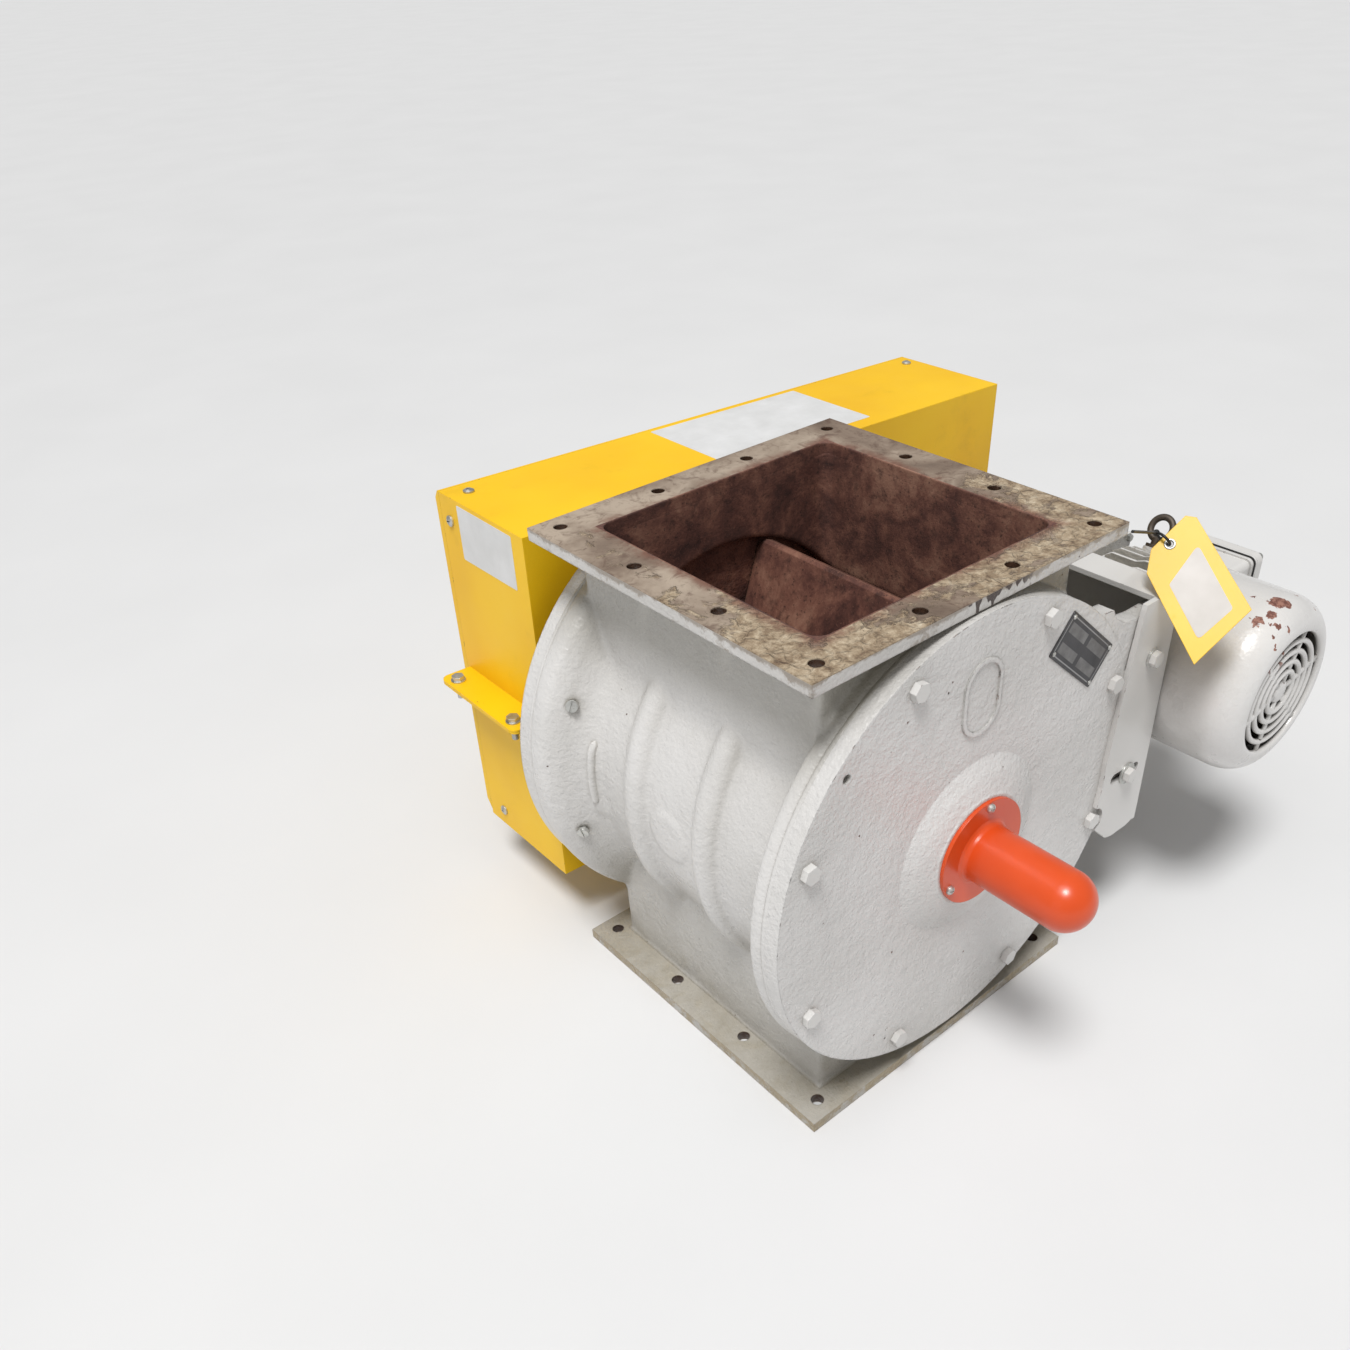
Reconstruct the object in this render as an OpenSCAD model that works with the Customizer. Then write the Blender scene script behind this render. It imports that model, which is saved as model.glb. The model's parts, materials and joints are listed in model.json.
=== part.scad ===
// Rotary airlock valve: cast housing with square inlet and outlet flanges, an eight-vane rotor on a shaft
// in two end covers, and a foot-mounted gearmotor driving it by a toothed belt inside a sheet-metal guard.
// Frame: origin in the middle of the outlet flange's underside, Z up, rotor axis along Y.

/* [Housing] */
// Flange size across the rotor, along X
flange_w = 404.8; // [400:0.4:412]
// Flange size along the rotor, along Y
flange_d = 397.6; // [394:0.4:404]
// Thickness of both flanges
flange_t = 12.7; // [11:0.1:14]
// Bolt square of both flanges, corner hole to corner hole
bolt_sq = 355.6; // [350:0.4:360]
// Clear square opening of inlet and outlet
opening = 304.8; // [290:0.4:306]
// Outside radius of the cast barrel
barrel_r = 207; // [205:0.5:209]
// Radius of the end covers
disc_r = 251; // [249:0.5:252]

/* [Rotor] */
// Number of vanes on the rotor
vanes = 8; // [6, 8]
// Turn of the first vane from the vertical
vane_turn = 20; // [0:1:44]
// Radius of the vane tips
tip_r = 191.4; // [188:0.2:191.8]
// Thickness of each vane
vane_t = 8; // [6:0.5:10]

/* [Shaft cap] */
// Radius of the cap's tube
cap_r = 30.5; // [29.5:0.1:32]
// Radius of the cap's mounting flange
cap_flange_r = 57; // [55:0.5:60]

/* [Motor] */
// Radius of the fan cowl
cowl_r = 102.5; // [102:0.1:103.5]
// Number of cooling fins round the motor frame
fins = 36; // [24:2:40]

/* [Guard] */
// Length of the belt guard
guard_l = 738; // [730:1:746]
// Sheet thickness of the guard
guard_t = 2.5; // [2:0.1:3]

/* [Hidden] */

total_h = 544.1;              // underside of the outlet flange to the inlet flange's top
zc = 278;                     // height of the rotor axis
bore_r = 193;                 // bore the vanes sweep
body_y = 185.5;               // half length of the housing casting
cover_y = 204.5;              // outer face of each end cover
spigot_y = 165;               // inner face of each end cover
neck_w = 331;                 // throat width along X
neck_d = 336;                 // throat length along Y
fillet_r = 45;                // fillet between throat and barrel
rim_r = 253;                  // radius of the casting's end rims
hole_r = 7;                   // flange bolt holes
bolt_r = 231;                 // bolt circle of the end covers
shaft_r = 25;                 // rotor shaft radius

// ---- drive layout ----
mx = 407.4; mz = 309.6;       // motor axis
my = 8;                       // how far the motor body stands towards the gearbox
ox = 390.5; oz = 258.5;           // gearbox output axis
m1 = 1.125; p1 = 16; g1 = 80;   // first gear stage: module, pinion teeth, gear teeth
m2 = 1.25; p2 = 16; g2 = 96;   // second gear stage
c1 = m1 * (p1 + g1) / 2;      // centre distances
c2 = m2 * (p2 + g2) / 2;
mo_d = sqrt(pow(mx - ox, 2) + pow(mz - oz, 2));
mo_a = (c2 * c2 - c1 * c1 + mo_d * mo_d) / (2 * mo_d);
mo_h = sqrt(c2 * c2 - mo_a * mo_a);
ux = (mx - ox) / mo_d; uz = (mz - oz) / mo_d;
ix = ox + ux * mo_a + uz * mo_h;   // intermediate axis
iz = oz + uz * mo_a - ux * mo_h;
ang_mi = atan2(iz - mz, ix - mx);  // direction from motor axis to intermediate axis
ang_io = atan2(oz - iz, ox - ix);  // direction from intermediate axis to output axis
pitch = 8;                    // belt pitch
tb = 90; ts = 36;             // teeth of the rotor pulley and of the drive pulley
rb_ = tb * pitch / (2 * PI) - 0.7; // outside radii of the pulleys
rs_ = ts * pitch / (2 * PI) - 0.7;
belt_gap = 0.4; belt_t = 5;

// ---- tag tie: from the flange corner to the tag ----
tie_e = [293.9, -175.7, 495.3];
tie_d = [tie_e[0] - 206, tie_e[1] + 201.4, tie_e[2] - 534];
tie_len = norm(tie_d);
tie_th = acos(tie_d[2] / tie_len);
tie_ph = atan2(tie_d[1], tie_d[0]);

// ---- guard frame ----
gx = -189.5; gy = 236; gz = 516.8; g_tilt = 2.1;
g_h = 436; g_split = 218; g_d = 169; g_back = 178;

// ================= helpers =================
module yext(y0, y1) { translate([0, y1, 0]) rotate([90, 0, 0]) linear_extrude(y1 - y0) children(); }
module ycyl(y0, y1, r, x = 0, z = 0, f = 72) { translate([x, y1, z]) rotate([90, 0, 0]) cylinder(h = y1 - y0, r = r, $fn = f); }
module yhex(y0, y1, af, x = 0, z = 0, a = 0) { translate([x, y1, z]) rotate([90, 0, 0]) rotate([0, 0, a]) cylinder(h = y1 - y0, d = af / cos(30), $fn = 6); }
module yrev(x = 0, z = 0, f = 120) { translate([x, 0, z]) rotate([-90, 0, 0]) rotate_extrude($fn = f) children(); }
module xcyl(x0, x1, r, y = 0, z = 0, f = 48) { translate([x0, y, z]) rotate([0, 90, 0]) cylinder(h = x1 - x0, r = r, $fn = f); }
module xhex(x0, x1, af, y = 0, z = 0, a = 0) { translate([x0, y, z]) rotate([0, 90, 0]) rotate([0, 0, a]) cylinder(h = x1 - x0, d = af / cos(30), $fn = 6); }
module zcyl(z0, z1, r, x = 0, y = 0, f = 48) { translate([x, y, z0]) cylinder(h = z1 - z0, r = r, $fn = f); }
module about_rotor(a) { translate([0, 0, zc]) rotate([0, -a, 0]) children(); }
module about_motor(a) { translate([mx, 0, mz]) rotate([0, -a, 0]) children(); }
module guard_frame() { translate([gx, gy, gz]) rotate([0, g_tilt, 0]) children(); }
module both_ends() { children(); mirror([0, 1, 0]) children(); }
module plate2d(w, d, r) {
  square([w - 2 * r, d], center = true);
  square([w, d - 2 * r], center = true);
  for (i = [-1, 1]) for (j = [-1, 1]) translate([i * (w / 2 - r), j * (d / 2 - r)]) circle(r = r, $fn = 32);
}
module ring(y0, y1, ro, ri, x = 0, z = 0, f = 96) {
  difference() { ycyl(y0, y1, ro, x, z, f); ycyl(y0 - 1, y1 + 1, ri, x, z, f); }
}
// straight-flanked gear blank outline: n teeth of module m, cut back by b at each flank
function polar(r, a) = [r * cos(a), r * sin(a)];
module gear2d(n, m, b) {
  rp = n * m / 2; ra = rp + 0.8 * m; rf = rp - 1.25 * m;
  hp = 90 / n - b / rp * 180 / PI;
  ht = hp - (0.8 * m * tan(20)) / rp * 180 / PI * 1.15;
  hf = min(hp + (1.0 * m * tan(20)) / rp * 180 / PI, 180 / n - 0.3);
  polygon([for (i = [0 : n - 1]) each [polar(rf, i * 360 / n - hf), polar(ra, i * 360 / n - ht),
    polar(ra, i * 360 / n + ht), polar(rf, i * 360 / n + hf)]]);
}
module pulley2d(n) {
  r = n * pitch / (2 * PI) - 0.7;
  polygon([for (i = [0 : n - 1]) each [polar(r, (i - 0.29) * 360 / n), polar(r, (i + 0.29) * 360 / n),
    polar(r - 3.3, (i + 0.36) * 360 / n), polar(r - 3.3, (i + 0.64) * 360 / n)]]);
}
// outline of a belt of inner radii r1, r2 and thickness t round the two pulleys
module belt2d(r1, r2, t) {
  d = sqrt(ox * ox + pow(oz - zc, 2)); dir = atan2(oz - zc, ox); f = acos((r1 - r2) / d);
  run = d * sin(f);
  difference() {
    translate([0, zc]) circle(r = r1 + t, $fn = 120);
    translate([0, zc]) circle(r = r1, $fn = 120);
    polygon([[0, zc], [0, zc] + polar(3 * r1, dir + f), [0, zc] + polar(3 * r1, dir), [0, zc] + polar(3 * r1, dir - f)]);
  }
  intersection() {
    difference() { translate([ox, oz]) circle(r = r2 + t, $fn = 96); translate([ox, oz]) circle(r = r2, $fn = 96); }
    polygon([[ox, oz], [ox, oz] + polar(6 * r2, dir + f), [ox, oz] + polar(6 * r2, dir), [ox, oz] + polar(6 * r2, dir - f)]);
  }
  // the two straight runs, let 1 mm into each wrap
  for (s = [-1, 1]) translate([0, zc] + polar(r1, dir + s * f)) rotate(dir + s * (f - 90))
    translate([-1, s > 0 ? 0.01 : 0.01 - t]) square([run + 2, t - 0.02]);
}

// ================= housing =================
module throat_fillet(s) {
  cx = neck_w / 2 + fillet_r; cz = sqrt(pow(barrel_r + fillet_r, 2) - cx * cx); k = barrel_r / (barrel_r + fillet_r);
  for (i = [-1, 1]) difference() {
    polygon([[i * neck_w / 2, zc + s * cz], [i * cx, zc + s * cz], [i * cx * k, zc + s * cz * k], [i * cx * k * 0.92, zc + s * cz * k * 0.92], [i * 120, zc + s * 130]]);
    translate([i * cx, zc + s * cz]) circle(r = fillet_r + 0.3, $fn = 96);
  }
}
module body_section() {
  translate([0, zc]) circle(r = barrel_r, $fn = 128);
  translate([-neck_w / 2, 1]) square([neck_w, total_h - 2]);
  throat_fillet(1);
  throat_fillet(-1);
}
module flange_holes() {
  a = bolt_sq / 2; b = a / 3;
  for (i = [-1, 1]) for (j = [-1, 1]) {
    for (p = [[a, a], [a, b], [b, a]]) {
      zcyl(-1, flange_t + 1, hole_r, i * p[0], j * p[1]);
      zcyl(total_h - flange_t - 1, total_h + 1, hole_r, i * p[0], j * p[1]);
    }
  }
}
module housing() {
  color([0.86, 0.86, 0.83]) difference() {
    union() {
      translate([-flange_w / 2, -flange_d / 2, 0]) cube([flange_w, flange_d, flange_t]);
      translate([-flange_w / 2, -flange_d / 2, total_h - flange_t]) cube([flange_w, flange_d, flange_t]);
      yext(-neck_d / 2, neck_d / 2) body_section();
      // end rims, the rear one with a wide sloping shoulder
      yrev(0, zc) polygon([[195, -body_y], [249, -body_y], [251.5, -182], [rim_r, -176], [rim_r - 1, -168], [240, -165.5], [224, -163], [213, -157], [barrel_r, -148], [195, -148]]);
      yrev(0, zc) polygon([[195, body_y], [249, body_y], [252, 183], [rim_r, 176], [rim_r, 167], [251.5, 162], [247, 157], [239, 151], [228, 145], [218, 138], [211, 130], [barrel_r, 119], [195, 119]]);
      // two cast ribs round the barrel
      for (y = [-53, 57]) translate([0, y, zc]) rotate([-90, 0, 0]) rotate_extrude($fn = 120) translate([199, 0]) circle(r = 20, $fn = 64);
      // cast direction bar and plain cast pad on the rotor's left side
      difference() {
        yrev(0, zc) translate([200, 124]) square([15, 6]);
        translate([-300, 100, zc + 46]) cube([700, 60, 300]);
        translate([-300, 100, -20]) cube([700, 60, zc - 18]);
        translate([0, 100, 0]) cube([400, 60, 600]);
      }
      intersection() {
        ring(-36, 40, barrel_r + 2.4, 200, 0, zc, 128);
        xcyl(-230, -170, 27, 6, zc - 2, 64);
      }
    }
    ycyl(-body_y - 1, body_y + 1, bore_r, 0, zc, 128);
    translate([0, 0, -1]) linear_extrude(total_h + 2) plate2d(opening, opening, 15);
    flange_holes();
    for (k = [0 : 7]) both_ends() ycyl(-body_y - 1, -160, 5.1, bolt_r * cos(22.5 + 45 * k), zc + bolt_r * sin(22.5 + 45 * k), 32);
    rim_plug_places() translate([226, 0, 0]) rotate([0, 90, 0]) cylinder(h = 40, r = 4.1, $fn = 32);
    rim_plug_places() translate([232.1, 0, 0]) rotate([0, 90, 0]) cylinder(h = 30, r = 6.9, $fn = 40);
  }
}
module rim_plug_places() {
  for (a = [156.5, 196.5]) translate([0, 146.4, zc]) rotate([0, -a, 0]) translate([231, 0, 0]) rotate([0, 0, -40]) translate([-231, 0, 0]) children();
}
module rim_plugs() {
  color("silver") rim_plug_places() difference() {
    union() {
      translate([227, 0, 0]) rotate([0, 90, 0]) cylinder(h = 6, r = 4, $fn = 32);
      translate([232.2, 0, 0]) rotate([0, 90, 0]) cylinder(h = 4.2, r = 6.5, $fn = 40);
    }
    translate([235, -1, -8]) cube([3, 2, 16]);
  }
}

// ================= end covers =================
module cover_outline() {
  translate([0, zc]) circle(r = disc_r, $fn = 160);
}
module ear_outline() {
  polygon([[120, 461], [165, 461], [194, 457], [201, 445], [218, 434], [245, 430], [283, 430], [288, 425], [288, 168], [283, 163], [215, 163], [150, 180]]);
}
// one end cover, drawn at the front
module end_cover(front) {
  difference() {
    union() {
      yext(-cover_y, -body_y) cover_outline();
      yext(-cover_y + 0.8, -body_y) ear_outline();
      ycyl(-body_y - 1, -spigot_y, bore_r - 0.1, 0, zc, 128);
      yrev(0, zc) polygon([[0, -cover_y + 4], [99, -cover_y + 4], [97, -cover_y], [90, -207.5], [81, -211.5], [70, -215.2], [62, -217.6], [60, -219], [0, -219]]);
      if (front) {
        // plain cast oval where a casting mark would be, and a small raised bar under it
        yext(-206.3, -cover_y + 1) difference() {
          translate([0, zc + 167]) union() { translate([0, 14]) circle(r = 26, $fn = 48); translate([0, -14]) circle(r = 26, $fn = 48); square([52, 28], center = true); }
          translate([0, zc + 167]) union() { translate([0, 14]) circle(r = 21, $fn = 48); translate([0, -14]) circle(r = 21, $fn = 48); square([42, 28], center = true); }
        }
      }
    }
    // bearing seat, seal seat and shaft way
    ycyl(-220, -187.5, 45, 0, zc, 96);
    ycyl(-190, -160, 26.5, 0, zc, 64);
    ycyl(-178, -160, 32.05, 0, zc, 64);
    for (k = [0 : 7]) ycyl(-206, -180, 5.1, bolt_r * cos(22.5 + 45 * k), zc + bolt_r * sin(22.5 + 45 * k), 32);
    // jacking hole
    ycyl(-206, -192, 4.5, 235 * cos(136), zc + 235 * sin(136), 32);
    // bracket bolt holes
    ycyl(-206, -180, 5.1, 270, 376, 32);
    ycyl(-206, -180, 5.1, 263, 231.4, 32);
    if (front) {
      for (a = [85, 205, 325]) ycyl(-220, -205, 2.6, 50.8 * cos(a), zc + 50.8 * sin(a), 24);
      nameplate_place() for (i = [-1, 1]) for (j = [-1, 1]) translate([i * 45, j * 19.5, -6]) cylinder(h = 7, r = 1.65, $fn = 24);
    } else {
      for (p = standoff_xz) ycyl(-220, -190, 5.1, p[0], p[1], 32);
    }
  }
}
standoff_xz = [[-120, 420], [-150, 190], [110, 420], [160, 190]];
module front_end_cover() { color([0.88, 0.88, 0.86]) end_cover(true); }
module rear_end_cover() { color([0.84, 0.84, 0.82]) mirror([0, 1, 0]) end_cover(false); }
module hex_bolt_y(y, x, z, af, head, shank_r, len, a) {
  // head on the -Y side of plane y, shank running towards +Y
  yhex(y - head, y, af, x, z, a);
  ycyl(y - 0.01, y + len, shank_r, x, z, 32);
}
module cover_bolts() {
  for (k = [0 : 7]) hex_bolt_y(-cover_y, bolt_r * cos(22.5 + 45 * k), zc + bolt_r * sin(22.5 + 45 * k), 17, 7.5, 5, 40, 20 * k + 8);
}
module front_cover_bolts() { color([0.87, 0.87, 0.85]) cover_bolts(); }
module rear_cover_bolts() { color([0.83, 0.83, 0.81]) mirror([0, 1, 0]) cover_bolts(); }

// ================= rotor =================
module rotor_wheel() {
  color([0.36, 0.2, 0.15]) difference() {
    union() {
      ycyl(-163, 163, 60, 0, zc, 96);
      // vanes with turned tips, relieved on the trailing side
      intersection() {
        yrev(0, zc, 128) polygon([[0, -163], [tip_r - 12, -163], [tip_r - 5.5, -161], [tip_r - 1.8, -157.5], [tip_r, -151], [tip_r, 151], [tip_r - 1.8, 157.5], [tip_r - 5.5, 161], [tip_r - 12, 163], [0, 163]]);
        union() for (k = [0 : vanes - 1]) about_rotor(90 - vane_turn - k * 360 / vanes)
          translate([0, 164, 0]) rotate([90, 0, 0]) linear_extrude(328) polygon([[50, -vane_t / 2], [tip_r + 2, -vane_t / 2], [tip_r + 2, 0], [tip_r - 4.5, vane_t / 2], [50, vane_t / 2]]);
      }
    }
    ycyl(-164, 164, shaft_r + 0.05, 0, zc, 64);
  }
}
module rotor_shaft() {
  color("silver") difference() {
    union() {
      ycyl(-290, -213, 20, 0, zc, 64);
      ycyl(-213, 213, shaft_r, 0, zc, 96);
      ycyl(213, 352, 24, 0, zc, 64);
      for (y = [-291.5, 352]) ycyl(y, y + 1.5, y < 0 ? 18.5 : 22.5, 0, zc, 64);
    }
    // keyway of the rotor pulley and centre drillings
    translate([-7, 296, zc + 18.5]) cube([14, 60, 8]);
    ycyl(-292, -284, 4, 0, zc, 24);
    ycyl(346, 356, 6, 0, zc, 24);
  }
}
module rotor_bearing_outer_rings() {
  color("silver") both_ends() difference() {
    ycyl(-208, -188, 44.95, 0, zc, 96);
    ycyl(-209, -187, 37.6, 0, zc, 96);
    translate([0, -198, zc]) rotate([90, 0, 0]) rotate_extrude($fn = 96) translate([35, 0]) circle(r = 6.7, $fn = 32);
  }
}
module rotor_bearing_inner_rings() {
  color("silver") both_ends() difference() {
    ycyl(-208, -188, 32.4, 0, zc, 96);
    ycyl(-209, -187, shaft_r + 0.02, 0, zc, 96);
    translate([0, -198, zc]) rotate([90, 0, 0]) rotate_extrude($fn = 96) translate([35, 0]) circle(r = 6.42, $fn = 32);
  }
}
module rotor_bearing_balls() {
  color("gainsboro") both_ends() for (k = [0 : 9]) translate([35 * cos(36 * k), -198, zc + 35 * sin(36 * k)]) sphere(r = 6.35, $fn = 20);
}
module shaft_seals() {
  color([0.15, 0.15, 0.15]) both_ends() difference() {
    ycyl(-177.9, -167, 32, 0, zc, 64);
    ycyl(-179, -160, shaft_r + 0.06, 0, zc, 64);
    ring(-173, -160, 29.5, 27.5, 0, zc, 64);
  }
}
module shaft_end_cap() {
  color([0.95, 0.3, 0.12]) difference() {
    union() {
      ycyl(-223, -219, cap_flange_r, 0, zc, 96);
      yrev(0, zc, 96) polygon([[0, -223], [0, -229], [cap_r, -229], [cap_r + 0.7, -226.4], [cap_r + 2.2, -224.4], [cap_r + 5, -223]]);
      ycyl(-319, -223, cap_r, 0, zc, 96);
      translate([0, -319, zc]) sphere(r = cap_r, $fn = 72);
      ring(-219.01, -209, 44.8, 40, 0, zc, 96);
    }
    ycyl(-319, -210, cap_r - 3, 0, zc, 96);
    ycyl(-219, -208, 40, 0, zc, 96);
    translate([0, -319, zc]) sphere(r = cap_r - 3, $fn = 64);
    for (a = [85, 205, 325]) ycyl(-224, -218, 2.9, 50.8 * cos(a), zc + 50.8 * sin(a), 24);
  }
}
module cap_screws() {
  color("silver") for (a = [85, 205, 325]) translate([50.8 * cos(a), 0, zc + 50.8 * sin(a)]) difference() {
    union() {
      ycyl(-225.2, -223, 4.7, 0, 0, 40);
      yrev(0, 0, 40) polygon([[0, -225.2], [4.7, -225.2], [3.6, -226.6], [2, -227.2], [0, -227.3]]);
      ycyl(-223.01, -208, 2.5, 0, 0, 24);
    }
    for (r = [0, 90]) rotate([0, r + 20, 0]) translate([-3.2, -228, -0.55]) cube([6.4, 1.8, 1.1]);
  }
}
module nameplate_place() {
  translate([146, -cover_y, 433]) rotate([90, 0, 0]) rotate([0, 0, -41.7]) children();
}
module nameplate() {
  color([0.18, 0.18, 0.2]) nameplate_place() difference() {
    union() {
      linear_extrude(1) plate2d(99, 48, 2);
      // plain raised border
      linear_extrude(1.3) difference() { plate2d(97, 46, 2); plate2d(94.5, 43.5, 1.5); }
    }
    for (i = [-1, 1]) for (j = [-1, 1]) translate([i * 45, j * 19.5, -1]) cylinder(h = 4, r = 1.7, $fn = 24);
  }
}
module nameplate_rivets() {
  color("silver") nameplate_place() for (i = [-1, 1]) for (j = [-1, 1]) translate([i * 45, j * 19.5, 0]) {
    translate([0, 0, -5]) cylinder(h = 6.4, r = 1.6, $fn = 24);
    translate([0, 0, 1.31]) cylinder(h = 0.7, r = 2.4, $fn = 24);
    translate([0, 0, 2]) cylinder(h = 0.5, r = 1.6, $fn = 24);
  }
}

// ================= motor bracket =================
module bracket_flange2d() {
  difference() {
    polygon([[243, 446], [302, 446], [302, 160], [299, 152], [293, 147], [284, 145], [256, 145], [244, 149], [221, 172], [216, 180], [216, 205], [220, 232], [220, 263], [229, 349], [241, 440]]);
    translate([213.4, 189.6]) circle(r = 16, $fn = 48);
    translate([270, 376]) circle(r = 5.6, $fn = 32);
    translate([241, 234]) circle(r = 6.6, $fn = 32);
    translate([279, 231]) circle(r = 6.6, $fn = 32);
    translate([260, 232.5]) rotate(-4.5) square([38, 13.2], center = true);
  }
}
module motor_bracket() {
  color([0.86, 0.86, 0.84]) difference() {
    union() {
      both_ends() yext(-210.5, -cover_y) bracket_flange2d();
      translate([296, -210.4, 147]) cube([6, 420.8, 299]);
      translate([264, -210.4, 440]) cube([38, 420.8, 6]);
    }
    for (y = [20, 190]) for (z = [215, 345]) xcyl(290, 310, 4.3, y, z);
  }
}
module bracket_bolts() {
  color([0.8, 0.8, 0.78]) both_ends() {
    hex_bolt_y(-212.6, 270, 376, 16, 7, 5, 28, 12);
    hex_bolt_y(-212.6, 263, 231.4, 16, 7, 5, 28, 25);
  }
}
module bracket_washers() {
  color("silver") both_ends() { ring(-212.6, -210.5, 10.5, 5.4, 270, 376, 48); ring(-212.6, -210.5, 13, 5.4, 263, 231.4, 48); }
}

// ================= gearbox =================
module gb_plate2d() {
  translate([318, 186]) square([196, 186]);
}
cover_screw_xz = [[323, 191], [416, 191], [509, 191], [323, 367], [509, 367], [509, 279], [323, 232]];
foot_yz = [[20, 215], [20, 345], [190, 215], [190, 345]];
module gearbox_casing() {
  color([0.8, 0.8, 0.78]) difference() {
    union() {
      difference() {
        yext(-8, 212) gb_plate2d();
        translate([328, -9, 196]) cube([176, 211, 166]);
      }
      // feet standing on the bracket
      for (y = [8, 178]) translate([302, y, 190]) cube([17, 24, 178]);
      ycyl(190, 212, 22, ix, iz, 64);
      ycyl(186, 222, 34, ox, oz, 64);
    }
    ycyl(192, 206, 16.05, ix, iz, 48);
    ycyl(180, 195, 9, ix, iz, 48);
    ycyl(180, 206, 26.05, ox, oz, 64);
    ycyl(200, 230, 18, ox, oz, 64);
    for (p = foot_yz) xcyl(300, 324, 4.1, p[0], p[1], 32);
    for (p = cover_screw_xz) ycyl(-9, 8, 2.6, p[0], p[1], 24);
  }
}
module gearbox_cover() {
  color([0.8, 0.8, 0.78]) difference() {
    union() {
      yext(-18, -8) union() { gb_plate2d(); translate([mx, mz]) circle(r = 80, $fn = 96); }
      ycyl(-9, 3, 21, ix, iz, 48);
      ycyl(-9, 3, 21, ox, oz, 48);
    }
    ycyl(-19, 5, 30, mx, mz, 64);
    ycyl(-13.5, 5, 16.05, ix, iz, 48);
    ycyl(-13.5, 5, 16.05, ox, oz, 48);
    for (p = cover_screw_xz) ycyl(-19, -7, 2.8, p[0], p[1], 24);
    for (a = [45 : 90 : 359]) ycyl(-19, -7, 3.1, mx + 72 * cos(a), mz + 72 * sin(a), 24);
  }
}
module gearbox_cover_screws() {
  color("silver") for (p = cover_screw_xz) hex_bolt_y(-18, p[0], p[1], 8, 4, 2.5, 24, 15);
}
module gearbox_foot_bolts() {
  color("silver") for (p = foot_yz) { xhex(290.5, 296, 13, p[0], p[1], 10); xcyl(295.9, 320, 4, p[0], p[1], 32); }
}
module gearbox_bearings() {
  color("gray") {
    ring(-13.4, -3.4, 16, 8.06, ix, iz, 64);
    ring(194, 205.9, 16, 8.06, ix, iz, 64);
    ring(-13.4, -3.4, 16, 10.06, ox, oz, 64);
    ring(190, 205.9, 26, 15.06, ox, oz, 64);
  }
}
module output_shaft() {
  color("silver") difference() {
    union() {
      ycyl(-12, 60, 10, ox, oz, 64);
      ycyl(60, 340, 15, ox, oz, 64);
    }
    translate([ox - 4, 296, oz + 11]) cube([8, 50, 6]);
  }
}
module output_gear() {
  color("gray") difference() {
    union() {
      translate([ox, 138, oz]) rotate([90, 0, 0]) rotate([0, 0, ang_io + 180 + 180 / g2]) linear_extrude(26) gear2d(g2, m2, 0.12);
      ycyl(104, 148, 25, ox, oz, 64);
    }
    ycyl(100, 150, 15.05, ox, oz, 64);
    for (a = [0 : 60 : 359]) ycyl(100, 150, 11, ox + 42 * cos(a), oz + 42 * sin(a), 40);
  }
}
module intermediate_shaft() {
  color("silver") {
    ycyl(-12, 204, 8, ix, iz, 48);
    translate([ix, 142, iz]) rotate([90, 0, 0]) rotate([0, 0, ang_io]) linear_extrude(34) gear2d(p2, m2, 0.12);
  }
}
module intermediate_gear() {
  color("gray") difference() {
    union() {
      translate([ix, 28, iz]) rotate([90, 0, 0]) rotate([0, 0, ang_mi + 180 + 180 / g1]) linear_extrude(18) gear2d(g1, m1, 0.12);
      ycyl(10, 38, 16, ix, iz, 48);
    }
    ycyl(8, 40, 8.05, ix, iz, 48);
    for (a = [0 : 60 : 359]) ycyl(8, 40, 8, ix + 30 * cos(a), iz + 30 * sin(a), 40);
  }
}

// ================= motor =================
module motor_shaft() {
  color("silver") {
    ycyl(-250, -202, 8.5, mx, mz, 48);
    ycyl(-202.01, -179, 8.5, mx, mz, 48);
    ycyl(-179.01, -62, 12, mx, mz, 48);
    ycyl(-62.01, -34, 8.5, mx, mz, 48);
    ycyl(-34.01, 8, 8, mx, mz, 48);
    translate([mx, 32, mz]) rotate([90, 0, 0]) rotate([0, 0, ang_mi]) linear_extrude(26) gear2d(p1, m1, 0.12);
  }
}
module motor_rotor_core() {
  color("gray") translate([0, my, 0]) difference() {
    union() { ycyl(-168, -84, 41.2, mx, mz, 96); ring(-176, -76, 38, 30, mx, mz, 72); }
    ycyl(-178, -70, 12.02, mx, mz, 64);
  }
}
module motor_stator() {
  color([0.6, 0.35, 0.2]) translate([0, my, 0]) difference() {
    union() { ycyl(-166, -86, 69.9, mx, mz, 96); ring(-182, -70, 64, 48, mx, mz, 72); }
    ycyl(-190, -60, 42, mx, mz, 96);
  }
}
module motor_fins2d() {
  for (k = [0 : fins - 1]) let (a = 360 / fins * (k + 0.5))
    if (!(a < 38 || a > 322)) rotate(a) translate([77, -1.5]) square([19, 3]);
}
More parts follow.
